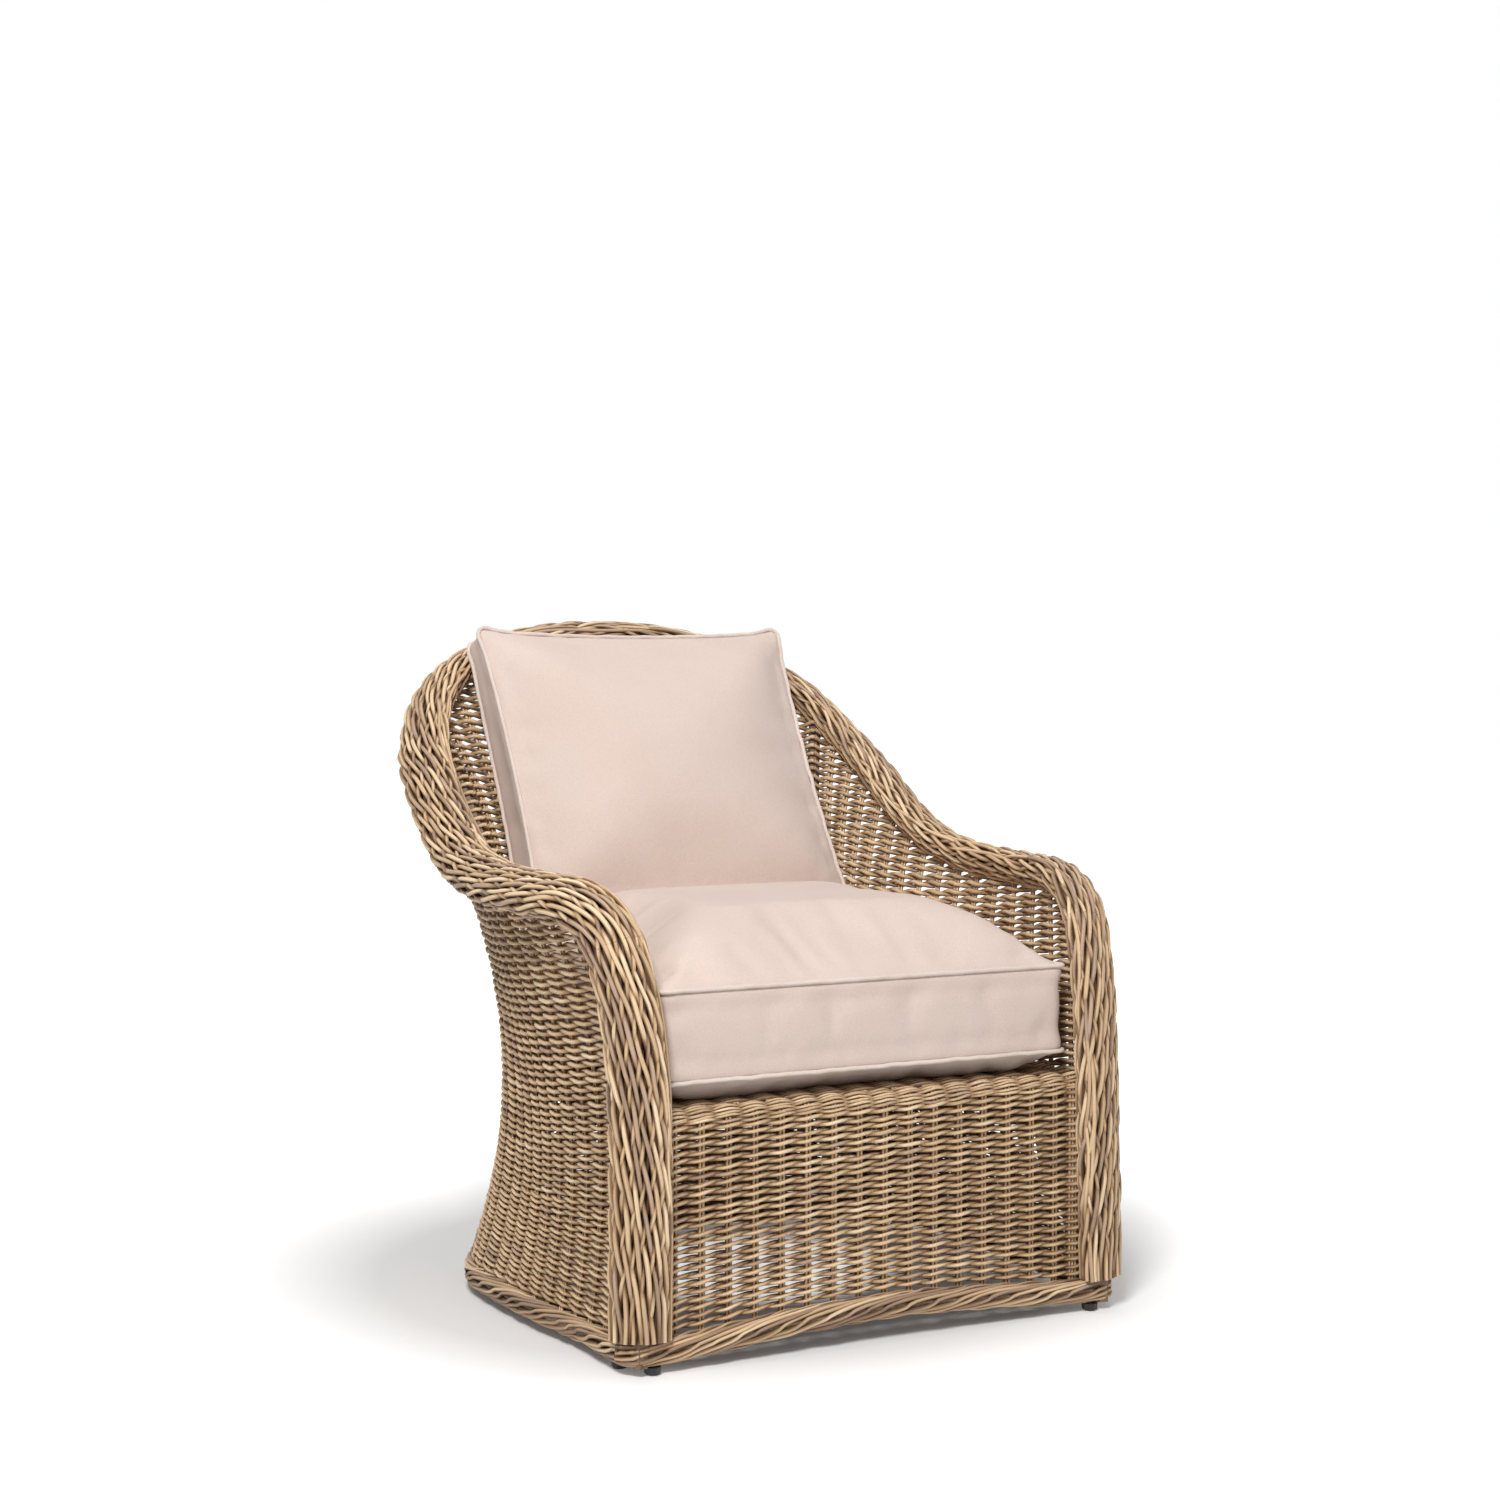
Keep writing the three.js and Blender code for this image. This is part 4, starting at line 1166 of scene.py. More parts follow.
@dataclass
class BoxedCushion:
    """A boxed cushion: two crowned faces, a band between them, and piping along both seams."""

    name: str
    body: Body
    outline: SeamOutline
    upper: Face
    under: Face
    place: Matrix
    cover_nodes: tuple[str, ...]
    upper_piping: str
    lower_piping: str
    fill: float
    seed: int
    voxel: float = 0.0064
    inset: float = 0.0015
    rings: tuple[float, ...] = (1.0, 0.975, 0.94, 0.89, 0.82, 0.72, 0.6, 0.45, 0.3, 0.15)
    pressure: float = 3.0
    frames: int = 20
    seam_hold: float = 1.6
    seam_band: float = 0.009
    smooth_passes: int = 5
    calm_gap: float = 0.030
    face_cap: float = 0.022
    band_cap: float = 0.006
    piping_radius: float = 0.0028
    seam_reach: float = 0.022
    slack: float = 0.04
    calm: int = 0
    gather: float = 0.0016
    gather_length: float = 0.044
    gather_reach: float = 0.055
    gather_shift: float = 0.31
    tighten: Callable[[Points], Points] | None = None

    def build(self) -> list[bpy.types.Object]:
        """Sew and fill the cushion, and lay its piping."""
        cover = self._cover()
        pieces = [cover]
        for face, node, sign in ((self.upper, self.upper_piping, 1), (self.under, self.lower_piping, -1)):
            pieces.append(self._piping(node, face, sign))
        return pieces

    def _rings(self) -> list[Points]:
        """Give the rings of the unfilled shell, from the middle of its under face to its upper one."""
        outline = self.outline.points()
        middle = np.array((0, (self.outline.near + self.outline.far) / 2))
        arms = outline - middle
        arms *= 1 - self.inset / np.linalg.norm(arms, axis=1, keepdims=True)
        rings: list[Points] = []
        for face, sign, order in ((self.under, 1, self.rings[::-1]), (self.upper, -1, self.rings)):
            for share in order:
                plan = middle + arms * share
                level = face(plan, np.array(share)) + sign * self.inset * 0.6
                rings.append(np.column_stack((plan, level - sign * self._gathers(plan, 1 - share))))
        return rings

    def _gathers(self, plan: Points, inwards: float) -> Points:
        """Give the small folds that run in from the side seams, at one ring of a face."""
        into = inwards * self.outline.half_width
        rng = np.random.default_rng(self.seed + 1)
        wave = Wander(rng, self.gather_length)(plan[:, 1] + self.gather_shift * np.sign(plan[:, 0]))
        beside = smooth(np.abs(plan[:, 0]) / self.outline.half_width * 4 - 2)
        rise = smooth(into / 0.016) * math.exp(-max(into - 0.01, 0) / self.gather_reach)
        return self.gather * wave * beside * rise

    def _shell(self) -> bpy.types.Mesh:
        """Bridge the rings into a closed shell."""
        shell = bmesh.new()
        loops: list[list[bmesh.types.BMEdge]] = []
        for ring in self._rings():
            verts = [shell.verts.new(p) for p in ring]
            loops.append([shell.edges.new((a, b)) for a, b in zip(verts, verts[1:] + verts[:1])])
        for a, b in zip(loops, loops[1:]):
            bmesh.ops.bridge_loops(shell, edges=a + b)
        for loop in (loops[0], loops[-1]):
            bmesh.ops.contextual_create(shell, geom=loop)
        bmesh.ops.recalc_face_normals(shell, faces=shell.faces)
        mesh = bpy.data.meshes.new(self.name)
        shell.to_mesh(mesh)
        shell.free()
        return mesh

    def _cover(self) -> bpy.types.Object:
        """Blow the shell up as cloth, within what its neighbours leave."""
        work = placed(self.name + "_work", self._shell())
        remesh = work.modifiers.new("remesh", "REMESH")
        remesh.mode = "VOXEL"
        remesh.voxel_size = self.voxel
        mesh = applied(work)
        start = points_of(mesh)
        work.modifiers.clear()
        work.data = mesh
        mesh = self._blown(work, start)
        bpy.data.objects.remove(work)
        self._settle(mesh, start, points_of(mesh))
        return self._finished(mesh)

    def _blown(self, work: bpy.types.Object, start: Points) -> bpy.types.Mesh:
        """Run the cloth and return its last mesh."""
        seams = work.vertex_groups.new(name="seams")
        near = np.clip(self.seam_hold - self._seam_gap(start) / self.seam_band, 0, 1)
        for index in np.flatnonzero(near > 0):
            seams.add([int(index)], float(near[index]), "REPLACE")
        cloth = work.modifiers.new("cloth", "CLOTH")
        settings = cloth.settings
        for key, value in CLOTH.items():
            setattr(settings, key, value)
        settings.uniform_pressure_force = self.pressure
        settings.shrink_min = -self.slack
        settings.effector_weights.gravity = 0
        settings.vertex_group_mass = "seams"
        cloth.collision_settings.use_collision = False
        cloth.point_cache.frame_start = 1
        cloth.point_cache.frame_end = self.frames
        scene = bpy.context.scene
        for step in range(1, self.frames + 1):
            scene.frame_set(step)
        mesh = applied(work)
        scene.frame_set(1)
        return mesh

    def _seam_line(self, face: Face) -> Points:
        """Give one seam's points, where a face meets the band."""
        outline = self.outline.points()
        return np.column_stack((outline, face(outline, np.array(1.0))))

    def _seam_gap(self, points: Points, chunk_size: int = 3000) -> Points:
        """Give each point's distance from the nearer seam."""
        nearest = np.full(len(points), np.inf)
        for face in (self.upper, self.under):
            line = self._seam_line(face)
            legs = np.roll(line, -1, axis=0) - line
            for first in range(0, len(points), chunk_size):
                part = slice(first, first + chunk_size)
                chunk = points[part, None]
                way = np.clip(((chunk - line) * legs).sum(-1) / (legs**2).sum(-1), 0, 1)
                gap = np.linalg.norm(chunk - (line + legs * way[..., None]), axis=-1)
                nearest[part] = np.minimum(nearest[part], gap.min(axis=1))
        return nearest

    def _settle(self, mesh: bpy.types.Mesh, start: Points, grown: Points) -> None:
        """Cap how far the cloth moved, hold it clear of its neighbours, and keep the result.

        A level part may move as far as a face may, and an upright part as far as the band may.
        """
        moved = grown - start
        normals = np.empty(len(start) * 3)
        mesh.vertices.foreach_get("normal", normals)
        level = np.abs(normals.reshape(-1, 3)[:, 2])
        cap = lerp(self.band_cap, self.face_cap, smooth((level - 0.25) / 0.5))
        length = np.linalg.norm(moved, axis=1)
        moved *= np.minimum(1, cap / np.maximum(length, 1e-9))[:, None]
        settled = start + moved
        if self.tighten is not None:
            settled = self.tighten(settled)
        move_points(mesh, settled)

    def _drawn_out(self, points: Points) -> Points:
        """Move the cover's edges out to the seams, and what lies beside them with them."""
        cloth = KDTree(len(points))
        for index, point in enumerate(points):
            cloth.insert(point, index)
        cloth.balance()
        lines = [self._seam_line(face) for face in (self.upper, self.under)]
        pulls = []
        for line in lines:
            pull = line - points[[cloth.find(spot)[1] for spot in line]]
            pulls.append(sum(np.roll(pull, shift, axis=0) for shift in (-1, 0, 1)) / 3)
        seams = KDTree(sum(len(line) for line in lines))
        for index, spot in enumerate(np.vstack(lines)):
            seams.insert(spot, index)
        seams.balance()
        found = [seams.find(point) for point in points]
        pull = np.vstack(pulls)[[index for _, index, _ in found]]
        beyond = np.array([gap for _, _, gap in found]) - np.linalg.norm(pull, axis=1)
        return points + pull * smooth(1 - np.maximum(beyond, 0) / self.seam_reach)[:, None]

    def _finished(self, mesh: bpy.types.Mesh) -> bpy.types.Object:
        """Smooth and subdivide the settled cover, and put it in its place."""
        cover = bmesh.new()
        cover.from_mesh(mesh)
        gap = self._seam_gap(points_of(mesh))
        inner = [vert for vert, far in zip(cover.verts, gap) if far > self.calm_gap]
        axes = {"use_axis_x": True, "use_axis_y": True, "use_axis_z": True}
        for verts, passes in ((cover.verts[:], self.smooth_passes), (inner, self.calm)):
            for _ in range(passes):
                bmesh.ops.smooth_vert(cover, verts=verts, factor=0.5, **axes)
        cover.to_mesh(mesh)
        cover.free()
        move_points(mesh, self._drawn_out(points_of(mesh)))
        work = placed(self.name + "_work", mesh)
        divide = work.modifiers.new("divide", "SUBSURF")
        divide.levels = 1
        divide.render_levels = 1
        fine = applied(work)
        bpy.data.objects.remove(work)
        fine.transform(self.place)
        piece = dress(self.name, fine, self.body, Slot.FABRIC, finish("linen"), self.cover_nodes)
        return piece

    def _piping(self, node: str, face: Face, sign: int) -> bpy.types.Object:
        """Lay the piping along one seam."""
        line = self._seam_line(face)
        along = unit(np.roll(line, -1, axis=0) - np.roll(line, 1, axis=0))
        reach = 0.75 * self.piping_radius * math.sqrt(0.5)
        rng = np.random.default_rng(self.seed)
        length = np.linalg.norm(np.diff(np.vstack((line, line[:1])), axis=0), axis=1).cumsum()
        waver = reach + 0.0004 * Wander(rng, 0.05)(length)
        line = line + np.column_stack((along[:, 1] * waver, -along[:, 0] * waver, sign * waver))
        curve = round_curve(node, self.piping_radius, 3)
        add_line(curve, line).use_cyclic_u = True
        mesh = curve_mesh(curve)
        mesh.transform(self.place)
        return dress(node, mesh, self.body, Slot.FABRIC, finish("linen_piping"), (node,))


def crown(share: Points, reach: float) -> Points:
    """Give how far a crowned face has risen at a share of the way out from its middle."""
    return np.sin(0.5 * math.pi * np.minimum((1 - share) / reach, 1))


@dataclass
class Cushions:
    """The seat and back cushions, as they lie in the chair."""

    seat_half_width: float = 0.281
    seat_seam_low: float = 0.331
    seat_seam_high: float = 0.436
    seat_crown: float = 0.064
    seat_crown_reach: float = 0.118
    seat_under_reach: float = 0.052
    deck_level: float = 0.3003
    seat_zip_plane: float = 0.5595
    seat_zip_half: float = 0.120
    back_half_width: float = 0.236
    back_height: float = 0.432
    back_depth: float = 0.062
    back_lean: float = math.radians(29.5)
    back_front_crown: float = 0.042
    back_rear_crown: float = 0.024
    back_pinch: float = 0.024
    back_reach: float = 0.105
    back_foot: tuple[float, float] = (0.481, 0.487)
    back_stand: float = 0.0049
    clearance: float = 0.0005

    def foot_level(self, y: Points) -> Points:
        """Give the level of the plane that the back cushion stands on, at depths in the chair."""
        drop = self.back_stand / math.cos(self.back_lean)
        return self.back_foot[1] - (y - self.back_foot[0]) * math.tan(self.back_lean) - drop

    def _seat(self) -> BoxedCushion:
        low, high = self.seat_seam_low, self.seat_seam_high

        def upper(plan: Points, share: Points) -> Points:
            top = high + self.seat_crown * crown(share, self.seat_crown_reach / self.seat_half_width)
            return np.minimum(top, np.maximum(self.foot_level(plan[:, 1]), high))

        def under(plan: Points, share: Points) -> Points:
            rise = crown(share, self.seat_under_reach / self.seat_half_width)
            return np.full(len(plan), lerp(low, self.deck_level, rise))

        def tighten(points: Points) -> Points:
            out = points.copy()
            out[:, 2] = np.maximum(out[:, 2], self.deck_level)
            stand = np.maximum(self.foot_level(out[:, 1]) - self.clearance, high)
            out[:, 2] = np.minimum(out[:, 2], stand)
            return hold_flat(out, self.seat_zip_plane, 0.5 * (low + high), self.seat_zip_half)

        return BoxedCushion(
            name="seat_cushion_cover", body=Body.SEAT,
            outline=SeamOutline(
                self.seat_half_width, near=0.014, far=0.560, near_corner=0.010, far_corner=0.158,
                draw_in=0.006, near_ear=0.003,
            ),
            upper=upper, under=under, place=Matrix.Translation((0, -DEPTH_ORIGIN, 0)),
            cover_nodes=("seat_cushion_cover", "seat_foam_core"),
            upper_piping="seat_piping_upper", lower_piping="seat_piping_lower",
            fill=0.85, seed=600, tighten=tighten,
        )

    def _back(self) -> BoxedCushion:
        def upper(plan: Points, share: Points) -> Points:
            rise = crown(share, self.back_reach / self.back_half_width)
            return np.full(len(plan), self.back_front_crown * rise)

        def under(plan: Points, share: Points) -> Points:
            rise = crown(share, self.back_reach / self.back_half_width)
            across = (np.abs(plan[:, 0]) / self.back_half_width) ** 4
            upwards = np.maximum(plan[:, 1] / self.back_height, 0) ** 4
            pinch = self.back_pinch * across * upwards * share**8
            return pinch - self.back_depth - self.back_rear_crown * rise

        def tighten(points: Points) -> Points:
            out = points.copy()
            out[:, 1] = np.maximum(out[:, 1], 0.0)
            out[:, 2] = np.maximum(out[:, 2], -self.back_depth - self.back_rear_crown)
            return out

        place = Matrix.Translation((0, self.back_foot[0] - DEPTH_ORIGIN, self.back_foot[1]))
        place = place @ Matrix.Rotation(0.5 * math.pi - self.back_lean, 4, "X")
        return BoxedCushion(
            name="back_cushion_cover", body=Body.BACK,
            outline=SeamOutline(
                self.back_half_width, near=0.0, far=self.back_height, near_corner=0.012, far_corner=0.015,
                draw_in=0.008, far_ear=0.007, far_dip=0.010,
            ),
            upper=upper, under=under, place=place,
            cover_nodes=("back_cushion_cover", "back_fibre_core"),
            upper_piping="back_piping_upper", lower_piping="back_piping_lower",
            fill=0.75, seed=610, slack=0.012, calm=24, tighten=tighten,
        )

    def build(self) -> list[bpy.types.Object]:
        """Make both cushions."""
        return self._seat().build() + self._back().build()


def hold_flat(points: Points, edge: float, level: float, half_width: float) -> Points:
    """Press a band's middle back to an upright plane where its zip is sewn in.

    Args:
        points: The cushion's points.
        edge: How far back the plane is.
        level: The zip's level.
        half_width: Half the zip's length.

    Returns:
        The pressed points.
    """
    near = 1 - smooth((np.abs(points[:, 2] - level) - 0.007) / 0.012)
    near = near * (1 - smooth((np.abs(points[:, 0]) - half_width) / 0.02))
    near = near * (points[:, 1] > edge - 0.03)
    out = points.copy()
    out[:, 1] = lerp(points[:, 1], edge, near)
    return out


# ----------------------------------------------------------------------------------------- finishes


class NodeSheet:
    """A short way to place and join shader nodes in one tree."""

    def __init__(self, tree: bpy.types.NodeTree) -> None:
        """Work in this tree."""
        self.tree = tree

    def add(self, kind: str, inputs: Inputs | None = None, **settings: object) -> bpy.types.Node:
        """Place a node.

        Args:
            kind: The node's type, without its Shader prefix.
            inputs: Values or sockets for its inputs, by name or number.
            settings: The node's own settings.

        Returns:
            The node.
        """
        node = self.tree.nodes.new(kind if kind.startswith("NodeGroup") else "ShaderNode" + kind)
        for key, value in settings.items():
            setattr(node, key, value)
        self.feed(node, inputs or {})
        return node

    def feed(self, node: bpy.types.Node, inputs: Inputs) -> None:
        """Set a node's inputs to values, or join sockets to them."""
        for key, value in inputs.items():
            if isinstance(value, Socket):
                self.tree.links.new(value, node.inputs[key])
            else:
                node.inputs[key].default_value = value

    def noise(self, vector: Socket, scale: float, detail: float, roughness: float = 0.5) -> Socket:
        """Place a noise and give its value."""
        inputs = {"Vector": vector, "Scale": scale, "Detail": detail, "Roughness": roughness}
        return self.add("TexNoise", inputs).outputs["Fac"]

    def seen(self) -> Socket:
        """Give 1 for the rays that a surface is seen by, straight, mirrored or through glass."""
        rays = self.add("LightPath").outputs
        mirrored = self.maths("MAXIMUM", rays["Is Camera Ray"], rays["Is Glossy Ray"])
        return self.maths("MAXIMUM", mirrored, rays["Is Transmission Ray"])

    def maths(self, operation: str, *values: object) -> Socket:
        """Place a maths node and give its result."""
        node = self.add("Math", dict(enumerate(values)), operation=operation)
        return node.outputs[0]

    def ramp(self, value: Socket, *stops: tuple[float, Triple]) -> Socket:
        """Place a colour ramp and give its colour."""
        node = self.add("ValToRGB", {0: value})
        elements = node.color_ramp.elements
        while len(elements) < len(stops):
            elements.new(0.5)
        for element, (position, color) in zip(elements, stops):
            element.position = position
            element.color = (*color, 1)
        return node.outputs[0]

    def blend(self, kind: str, factor: object, a: object, b: object) -> Socket:
        """Place a colour mix and give its result."""
        inputs = {0: factor, 6: a, 7: b}
        node = self.add("Mix", inputs, data_type="RGBA", blend_type=kind, clamp_factor=True)
        return node.outputs[2]


def new_group(name: str, inputs: dict[str, tuple[str, object]], outputs: dict[str, str]) -> tuple:
    """Start a shader node group.

    Args:
        name: The group's name.
        inputs: Each input's socket type and default.
        outputs: Each output's socket type.

    Returns:
        The group, its sheet, its input node and its output node.
    """
    group = bpy.data.node_groups.new(name, "ShaderNodeTree")
    for label, (kind, default) in inputs.items():
        socket = group.interface.new_socket(label, in_out="INPUT", socket_type=kind)
        if default is not None:
            socket.default_value = default
    for label, kind in outputs.items():
        group.interface.new_socket(label, in_out="OUTPUT", socket_type=kind)
    sheet = NodeSheet(group)
    return group, sheet, sheet.add("NodeGroupInput"), sheet.add("NodeGroupOutput")


def fibre_group() -> bpy.types.NodeTree:
    """Make the long fibres of cane and wood: streaks along, and fine pores."""
    if "fibres" in bpy.data.node_groups:
        return bpy.data.node_groups["fibres"]
    group, sheet, given, out = new_group(
        "fibres",
        {
            "Vector": ("NodeSocketVector", None),
            "Along": ("NodeSocketFloat", 14.0),
            "Across": ("NodeSocketFloat", 900.0),
        },
        {"Streaks": "NodeSocketFloat", "Blotches": "NodeSocketFloat"},
    )
    place, along, across = (given.outputs[label] for label in ("Vector", "Along", "Across"))
    scale = sheet.add("CombineXYZ", {0: along, 1: across, 2: across}).outputs[0]
    stretched = sheet.add("VectorMath", {0: place, 1: scale}, operation="MULTIPLY").outputs[0]
    soft = sheet.add("VectorMath", {0: place, 1: (11.0, 60.0, 60.0)}, operation="MULTIPLY").outputs[0]
    streaks = sheet.noise(stretched, 1.0, detail=3.0, roughness=0.6)
    blotches = sheet.noise(soft, 1.0, detail=4.0, roughness=0.62)
    sheet.feed(out, {"Streaks": streaks, "Blotches": blotches})
    return group


def thread_group() -> bpy.types.NodeTree:
    """Make woven cloth: fine crossing threads on every side, with uneven yarn."""
    if "threads" in bpy.data.node_groups:
        return bpy.data.node_groups["threads"]
    group, sheet, given, out = new_group(
        "threads",
        {
            "Vector": ("NodeSocketVector", None),
            "Normal": ("NodeSocketVector", None),
            "Pitch": ("NodeSocketFloat", 1500.0),
        },
        {"Height": "NodeSocketFloat", "Yarn": "NodeSocketFloat", "Soft": "NodeSocketFloat"},
    )
    place = sheet.add("SeparateXYZ", {0: given.outputs["Vector"]})
    facing = sheet.add("SeparateXYZ", {0: given.outputs["Normal"]})
    waves = []
    for axis in range(3):
        wave = sheet.maths("MULTIPLY", place.outputs[axis], given.outputs["Pitch"])
        waves.append(sheet.maths("SINE", wave))
    total = None
    for axis, (a, b) in enumerate(((1, 2), (0, 2), (0, 1))):
        weight = sheet.maths("POWER", sheet.maths("ABSOLUTE", facing.outputs[axis]), 2.0)
        crossed = sheet.maths("MULTIPLY", waves[a], waves[b])
        part = sheet.maths("MULTIPLY", crossed, weight)
        total = part if total is None else sheet.maths("ADD", total, part)
    yarn = sheet.noise(given.outputs["Vector"], 420.0, detail=2.0)
    soft = sheet.noise(given.outputs["Vector"], 9.0, detail=3.0, roughness=0.55)
    height = sheet.maths("ADD", sheet.maths("MULTIPLY", total, 0.5), yarn)
    sheet.feed(out, {"Height": height, "Yarn": yarn, "Soft": soft})
    return group


class Finish:
    """A material that starts from a Principled surface."""

    label = "finish"

    def start(self) -> tuple[bpy.types.Material, NodeSheet, bpy.types.Node]:
        """Make the material and give its sheet and its surface node."""
        material = bpy.data.materials.new(self.label + "_finish")
        material.use_nodes = True
        material.node_tree.nodes.clear()
        sheet = NodeSheet(material.node_tree)
        surface = sheet.add("BsdfPrincipled")
        sheet.add("OutputMaterial", {0: surface.outputs[0]})
        return material, sheet, surface

    @staticmethod
    def coat(
        sheet: NodeSheet,
        surface: bpy.types.Node,
        color: Socket,
        rough: tuple[Socket, float, float],
        bump: tuple[Socket, float, float],
    ) -> None:
        """Give the surface its colour, its uneven roughness and its bump.

        Args:
            sheet: The material's sheet.
            surface: Its surface node.
            color: The colour.
            rough: What makes the roughness uneven, by how much, and the least roughness.
            bump: The bump's height, its strength and its depth in metres.
        """
        uneven, spread, least = rough
        height, strength, depth = bump
        normal = sheet.add("Bump", {"Strength": strength, "Distance": depth, "Height": height})
        roughness = sheet.maths("ADD", sheet.maths("MULTIPLY", uneven, spread), least)
        inputs = {"Base Color": color, "Roughness": roughness, "Normal": normal.outputs[0]}
        sheet.feed(surface, inputs)

    def build(self) -> bpy.types.Material:
        """Make the material."""
        raise NotImplementedError


@dataclass(frozen=True)
class CaneFinish(Finish):
    """Weathered cane: straw, tan and a few mauve-brown canes, streaked along their length, with painted
    shade in its crevices and on its packing canes.
    """

    label: str = "cane"
    roughness: float = 0.40
    specular: float = 0.3
    tones: tuple[tuple[float, Triple], ...] = (
        (0.00, (0.40, 0.275, 0.185)),
        (0.14, (0.50, 0.355, 0.265)),
        (0.30, (0.57, 0.400, 0.250)),
        (0.52, (0.70, 0.505, 0.315)),
        (0.80, (0.81, 0.605, 0.390)),
        (1.00, (0.90, 0.715, 0.500)),
    )
    # crevice is the colour of the painted shade on the least proud canes.
    crevice: Triple = (0.12, 0.075, 0.045)
    # inner is the near-black colour of the packing canes: painted shade in the hollows behind the canes.
    inner: tuple[float, ...] = (0.060, 0.036, 0.020, 1)

    def build(self) -> bpy.types.Material:
        """Make the material."""
        material, sheet, surface = self.start()
        tone = sheet.add("Attribute", attribute_name="tone").outputs["Fac"]
        cane = sheet.add("Attribute", attribute_name="cane").outputs["Vector"]
        fibres = sheet.add("Group", node_tree=fibre_group())
        sheet.tree.links.new(cane, fibres.inputs["Vector"])
        streaks, blotches = fibres.outputs["Streaks"], fibres.outputs["Blotches"]
        drift = sheet.maths("MULTIPLY", sheet.maths("SUBTRACT", blotches, 0.5), 0.8)
        color = sheet.ramp(sheet.maths("ADD", tone, drift), *self.tones)
        streak = sheet.ramp(
            streaks, (0.30, (0.62, 0.56, 0.50)), (0.52, (1.0, 1.0, 1.0)), (0.75, (1.1, 1.08, 1.02))
        )
        color = sheet.blend("MULTIPLY", 0.75, color, streak)
        # Painted shade: the less proud a cane's surface, in crevices, under crossings and on its flanks,
        # the nearer it darkens to the crevice colour.
        proud = sheet.add("Attribute", attribute_name="proud").outputs["Fac"]
        painted_shade = sheet.ramp(proud, (0.12, self.crevice), (0.50, (0.66, 0.59, 0.52)), (0.80, (1.0, 1.0, 1.0)))
        color = sheet.blend("MULTIPLY", 1.0, color, painted_shade)
        # Packing canes, marked by a tone of -1, take the inner colour: painted shade.
        dark = sheet.maths("GREATER_THAN", sheet.maths("MULTIPLY", tone, -1.0), 0.5)
        color = sheet.blend("MIX", dark, color, self.inner)
        self.coat(sheet, surface, color, (streaks, 0.25, self.roughness), (streaks, 0.35, 0.0006))
        surface.inputs["Specular IOR Level"].default_value = self.specular
        return material


@dataclass(frozen=True)
class PoleFinish(Finish):
    """Peeled rattan pole, stained dark."""

    label: str = "pole"
    dark: Triple = (0.105, 0.062, 0.036)
    light: Triple = (0.30, 0.195, 0.120)

    def build(self) -> bpy.types.Material:
        """Make the material."""
        material, sheet, surface = self.start()
        place = sheet.add("TexCoord").outputs["Object"]
        fibres = sheet.add("Group", {"Along": 160.0, "Across": 160.0}, node_tree=fibre_group())
        sheet.tree.links.new(place, fibres.inputs["Vector"])
        streaks, blotches = fibres.outputs["Streaks"], fibres.outputs["Blotches"]
        color = sheet.ramp(streaks, (0.3, self.dark), (0.7, self.light))
        knots = sheet.ramp(blotches, (0.35, (0.7, 0.66, 0.6)), (0.6, (1.0, 1.0, 1.0)))
        color = sheet.blend("MULTIPLY", 0.8, color, knots)
        self.coat(sheet, surface, color, (streaks, 0.3, 0.35), (streaks, 0.3, 0.0006))
        return material


@dataclass(frozen=True)
class LinenFinish(Finish):
    """Linen-look cushion cloth in a pale pinkish beige."""

    label: str = "linen"
    base: Triple = (0.725, 0.592, 0.528)
    warm: Triple = (0.705, 0.570, 0.505)
    bump: float = 0.22

    def build(self) -> bpy.types.Material:
        """Make the material."""
        material, sheet, surface = self.start()
        place = sheet.add("TexCoord").outputs["Object"]
        normal = sheet.add("NewGeometry").outputs["Normal"]
        threads = sheet.add("Group", node_tree=thread_group())
        sheet.feed(threads, {"Vector": place, "Normal": normal})
        color = sheet.ramp(threads.outputs["Soft"], (0.35, self.warm), (0.62, self.base))
        yarn = threads.outputs["Yarn"]
        shade = sheet.ramp(yarn, (0.30, (0.93, 0.92, 0.91)), (0.65, (1.0, 1.0, 1.0)))
        color = sheet.blend("MULTIPLY", 1.0, color, shade)
        bump = (threads.outputs["Height"], self.bump, 0.0006)
        self.coat(sheet, surface, color, (yarn, 0.12, 0.8), bump)
        sheet.feed(surface, {"Sheen Weight": 0.12, "Sheen Roughness": 0.5, "Specular IOR Level": 0.25})
        return material


@dataclass(frozen=True)
class PipingFinish(LinenFinish):
    """The same cloth, cut on the bias over cord, coloured lighter than the cover as painted light against
    the shade along the seams.
    """

    label: str = "linen_piping"
    base: Triple = (0.770, 0.665, 0.600)
    warm: Triple = (0.720, 0.605, 0.540)
    bump: float = 0.3


@dataclass(frozen=True)
class NylonFinish(Finish):
    """Moulded black nylon with a scuffed, slightly grainy skin."""

    label: str = "nylon"

    def build(self) -> bpy.types.Material:
        """Make the material."""
        material, sheet, surface = self.start()
        place = sheet.add("TexCoord").outputs["Object"]
        grain = sheet.noise(place, 900.0, detail=2.0)
        scuff = sheet.noise(place, 120.0, detail=4.0)
        color = sheet.ramp(scuff, (0.45, (0.012, 0.012, 0.013)), (0.75, (0.045, 0.043, 0.042)))
        self.coat(sheet, surface, color, (scuff, 0.35, 0.3), (grain, 0.2, 0.0003))
        return material


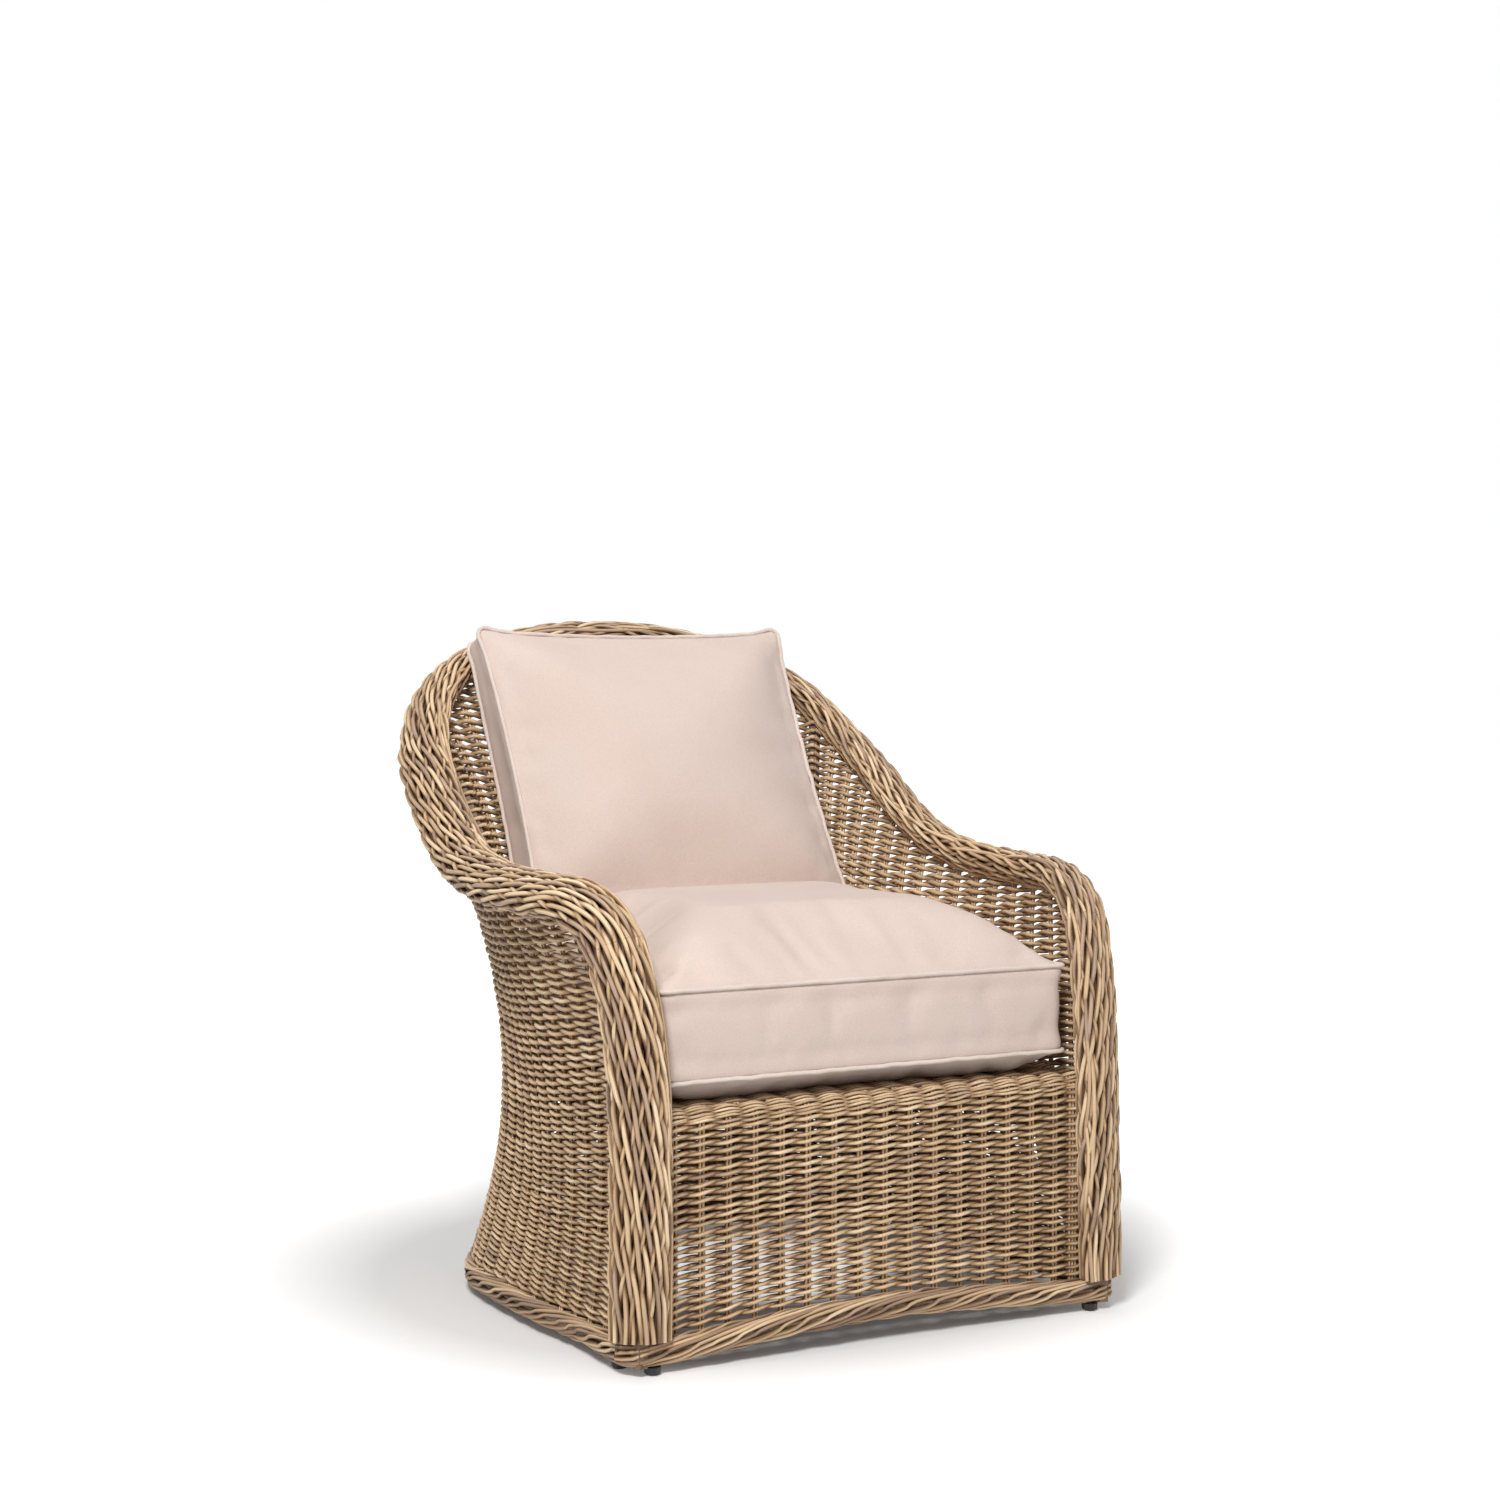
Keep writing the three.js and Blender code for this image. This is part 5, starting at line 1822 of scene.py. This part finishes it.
@dataclass(frozen=True)
class ZipFinish(Finish):
    """Woven zip tape with its row of moulded teeth, or the slider's plated metal."""

    label: str = "zip_tape"
    tape: Triple = (0.60, 0.49, 0.42)
    metal: float = 0.0

    def build(self) -> bpy.types.Material:
        """Make the material."""
        material, sheet, surface = self.start()
        place = sheet.add("TexCoord").outputs["Object"]
        across = sheet.add("SeparateXYZ", {0: place})
        teeth = sheet.maths("SINE", sheet.maths("MULTIPLY", across.outputs[0], 4200.0))
        noise = sheet.noise(place, 800.0, detail=2.0)
        shade = tuple(0.72 * value for value in self.tape)
        color = sheet.ramp(noise, (0.3, shade), (0.7, self.tape))
        self.coat(sheet, surface, color, (noise, 0.3, 0.35), (teeth, 0.4, 0.0005))
        surface.inputs["Metallic"].default_value = self.metal
        return material


FINISHES: dict[str, Finish] = {
    f.label: f
    for f in (
        CaneFinish(), PoleFinish(), LinenFinish(), PipingFinish(), NylonFinish(), ZipFinish(),
        ZipFinish(label="zip_slider", tape=(0.55, 0.45, 0.38), metal=0.7),
    )
}


@functools.cache
def finish(label: str) -> bpy.types.Material:
    """Give a finish's material, made the first time it is asked for."""
    return FINISHES[label].build()


def finish_frame() -> None:
    """Dress the CAD nodes that stay in view."""
    choices = {"glide": "nylon", "slider": "zip_slider", "zip": "zip_tape"}
    for name, node in sorted(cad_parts.items()):
        if node.hide_render:
            continue
        label = next((choices[word] for word in choices if word in name), "pole")
        for slot in node.material_slots:
            slot.material = finish(label)
        LOG.info("%s: %s", name, label)


# -------------------------------------------------------------------------------- studio and camera


@dataclass
class Studio:
    """White sweep, soft lamps and the photograph's viewpoint."""

    camera_place: Triple = (-1.5426, -2.9922, 0.8186)
    camera_turn: Triple = (88.016, 0.0, -27.94)
    lens: float = 59.91
    sensor: float = 36.0
    floor_size: float = 30.0
    floor_glow: float = 0.06
    floor_rise: tuple[float, float] = (0.46, 1.0)
    # Inside the chair's footprint the floor glows many times more: a painted pool of light where the floor
    # lies in the chair's shadow.
    painted_glow_middle: Triple = (0.03, -0.02, 0.0)
    painted_glow_reach: tuple[float, float] = (0.14, 0.215)
    painted_glow_strength: float = 12.0
    world_strength: float = 0.17
    aim: Triple = (0, 0, 0.4)
    lamps: tuple[tuple[str, Triple, float, float], ...] = (
        ("key", (-1.9, -2.5, 3.0), 1.1, 128.0),
        ("fill", (2.9, -2.4, 1.6), 2.2, 17.0),
        ("top", (0.2, 0.4, 3.6), 2.4, 31.0),
    )

    def build(self) -> None:
        """Set the camera, the floor, the world and the lamps."""
        scene = bpy.context.scene
        scene.view_settings.view_transform = "Standard"
        self._camera(scene)
        self._floor()
        self._world(scene)
        for lamp in self.lamps:
            self._lamp(*lamp)

    def _camera(self, scene: bpy.types.Scene) -> None:
        data = bpy.data.cameras.new("camera")
        data.lens = self.lens
        data.sensor_width = self.sensor
        camera = placed("camera", data)
        camera.location = self.camera_place
        camera.rotation_euler = [math.radians(v) for v in self.camera_turn]
        scene.camera = camera

    def _floor(self) -> None:
        made = bmesh.new()
        bmesh.ops.create_grid(made, x_segments=1, y_segments=1, size=self.floor_size / 2)
        mesh = bpy.data.meshes.new("floor")
        made.to_mesh(mesh)
        made.free()
        floor = placed("floor", mesh)
        floor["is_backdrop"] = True
        material = bpy.data.materials.new("floor")
        material.use_nodes = True
        material.node_tree.nodes.clear()
        sheet = NodeSheet(material.node_tree)
        diffuse = sheet.add("BsdfDiffuse", {"Color": (0.86, 0.86, 0.86, 1)})
        place = sheet.add("TexCoord").outputs["Object"]
        # The floor glows for the rays that see it: faintly near the chair, fully far off, and brightly
        # under the chair as painted light.
        level = sheet.maths(
            "MULTIPLY",
            self._rise(sheet, place, (0.0, 0.0, 0.0), self.floor_rise, self.floor_glow),
            self._rise(sheet, place, self.painted_glow_middle, self.painted_glow_reach, self.painted_glow_strength),
        )
        strength = sheet.maths("MULTIPLY", sheet.seen(), level)
        glow = sheet.add("Emission", {"Color": (1, 1, 1, 1), "Strength": strength})
        both = sheet.add("AddShader", {0: diffuse.outputs[0], 1: glow.outputs[0]})
        sheet.add("OutputMaterial", {0: both.outputs[0]})
        mesh.materials.append(material)

    @staticmethod
    def _rise(
        sheet: NodeSheet, place: Socket, middle: Triple, reach: tuple[float, float], first: float
    ) -> Socket:
        """Give a value that goes from its first one, near a middle, to 1 further out."""
        away = sheet.add("VectorMath", {0: place, 1: middle}, operation="DISTANCE").outputs["Value"]
        return sheet.add("MapRange", {0: away, 1: reach[0], 2: reach[1], 3: first, 4: 1.0}).outputs[0]

    def _world(self, scene: bpy.types.Scene) -> None:
        world = bpy.data.worlds.new("studio")
        scene.world = world
        world.use_nodes = True
        world.node_tree.nodes.clear()
        sheet = NodeSheet(world.node_tree)
        inputs = {0: sheet.seen(), 2: self.world_strength, 3: 1.0}
        strength = sheet.add("Mix", inputs, data_type="FLOAT", clamp_factor=True)
        back = sheet.add("Background", {"Color": (1, 1, 1, 1), "Strength": strength.outputs[0]})
        sheet.add("OutputWorld", {0: back.outputs[0]})

    def _lamp(self, name: str, place: Triple, size: float, power: float) -> None:
        data = bpy.data.lights.new(name, "AREA")
        data.shape = "DISK"
        data.size = size
        data.energy = power
        lamp = placed(name, data)
        lamp.location = place
        way = Vector(self.aim) - Vector(place)
        lamp.rotation_euler = way.to_track_quat("-Z", "Y").to_euler()


def main() -> None:
    """Build every piece of the armchair and its studio, in order."""
    logging.basicConfig(level=logging.INFO, format="%(name)s: %(message)s")
    Studio().build()
    rim = RimPath()
    shell = ShellForm(rim)
    apron = Apron()
    pieces: list[bpy.types.Object] = []
    pieces += WovenShell(shell).build()
    pieces += apron.build()
    pieces.append(SeatDeck(shell).build())
    pieces += PlaitedRim(rim).build()
    pieces += RopeBorder(shell, apron).build()
    pieces += Cushions().build()
    finish_frame()
    LOG.info("%d pieces made", len(pieces))
    boxes = {"cad": CAD_BOX, "visual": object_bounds()}
    {key: [[float(v) for v in corner] for corner in box] for key, box in boxes.items()}


if __name__ == "__main__":
    main()
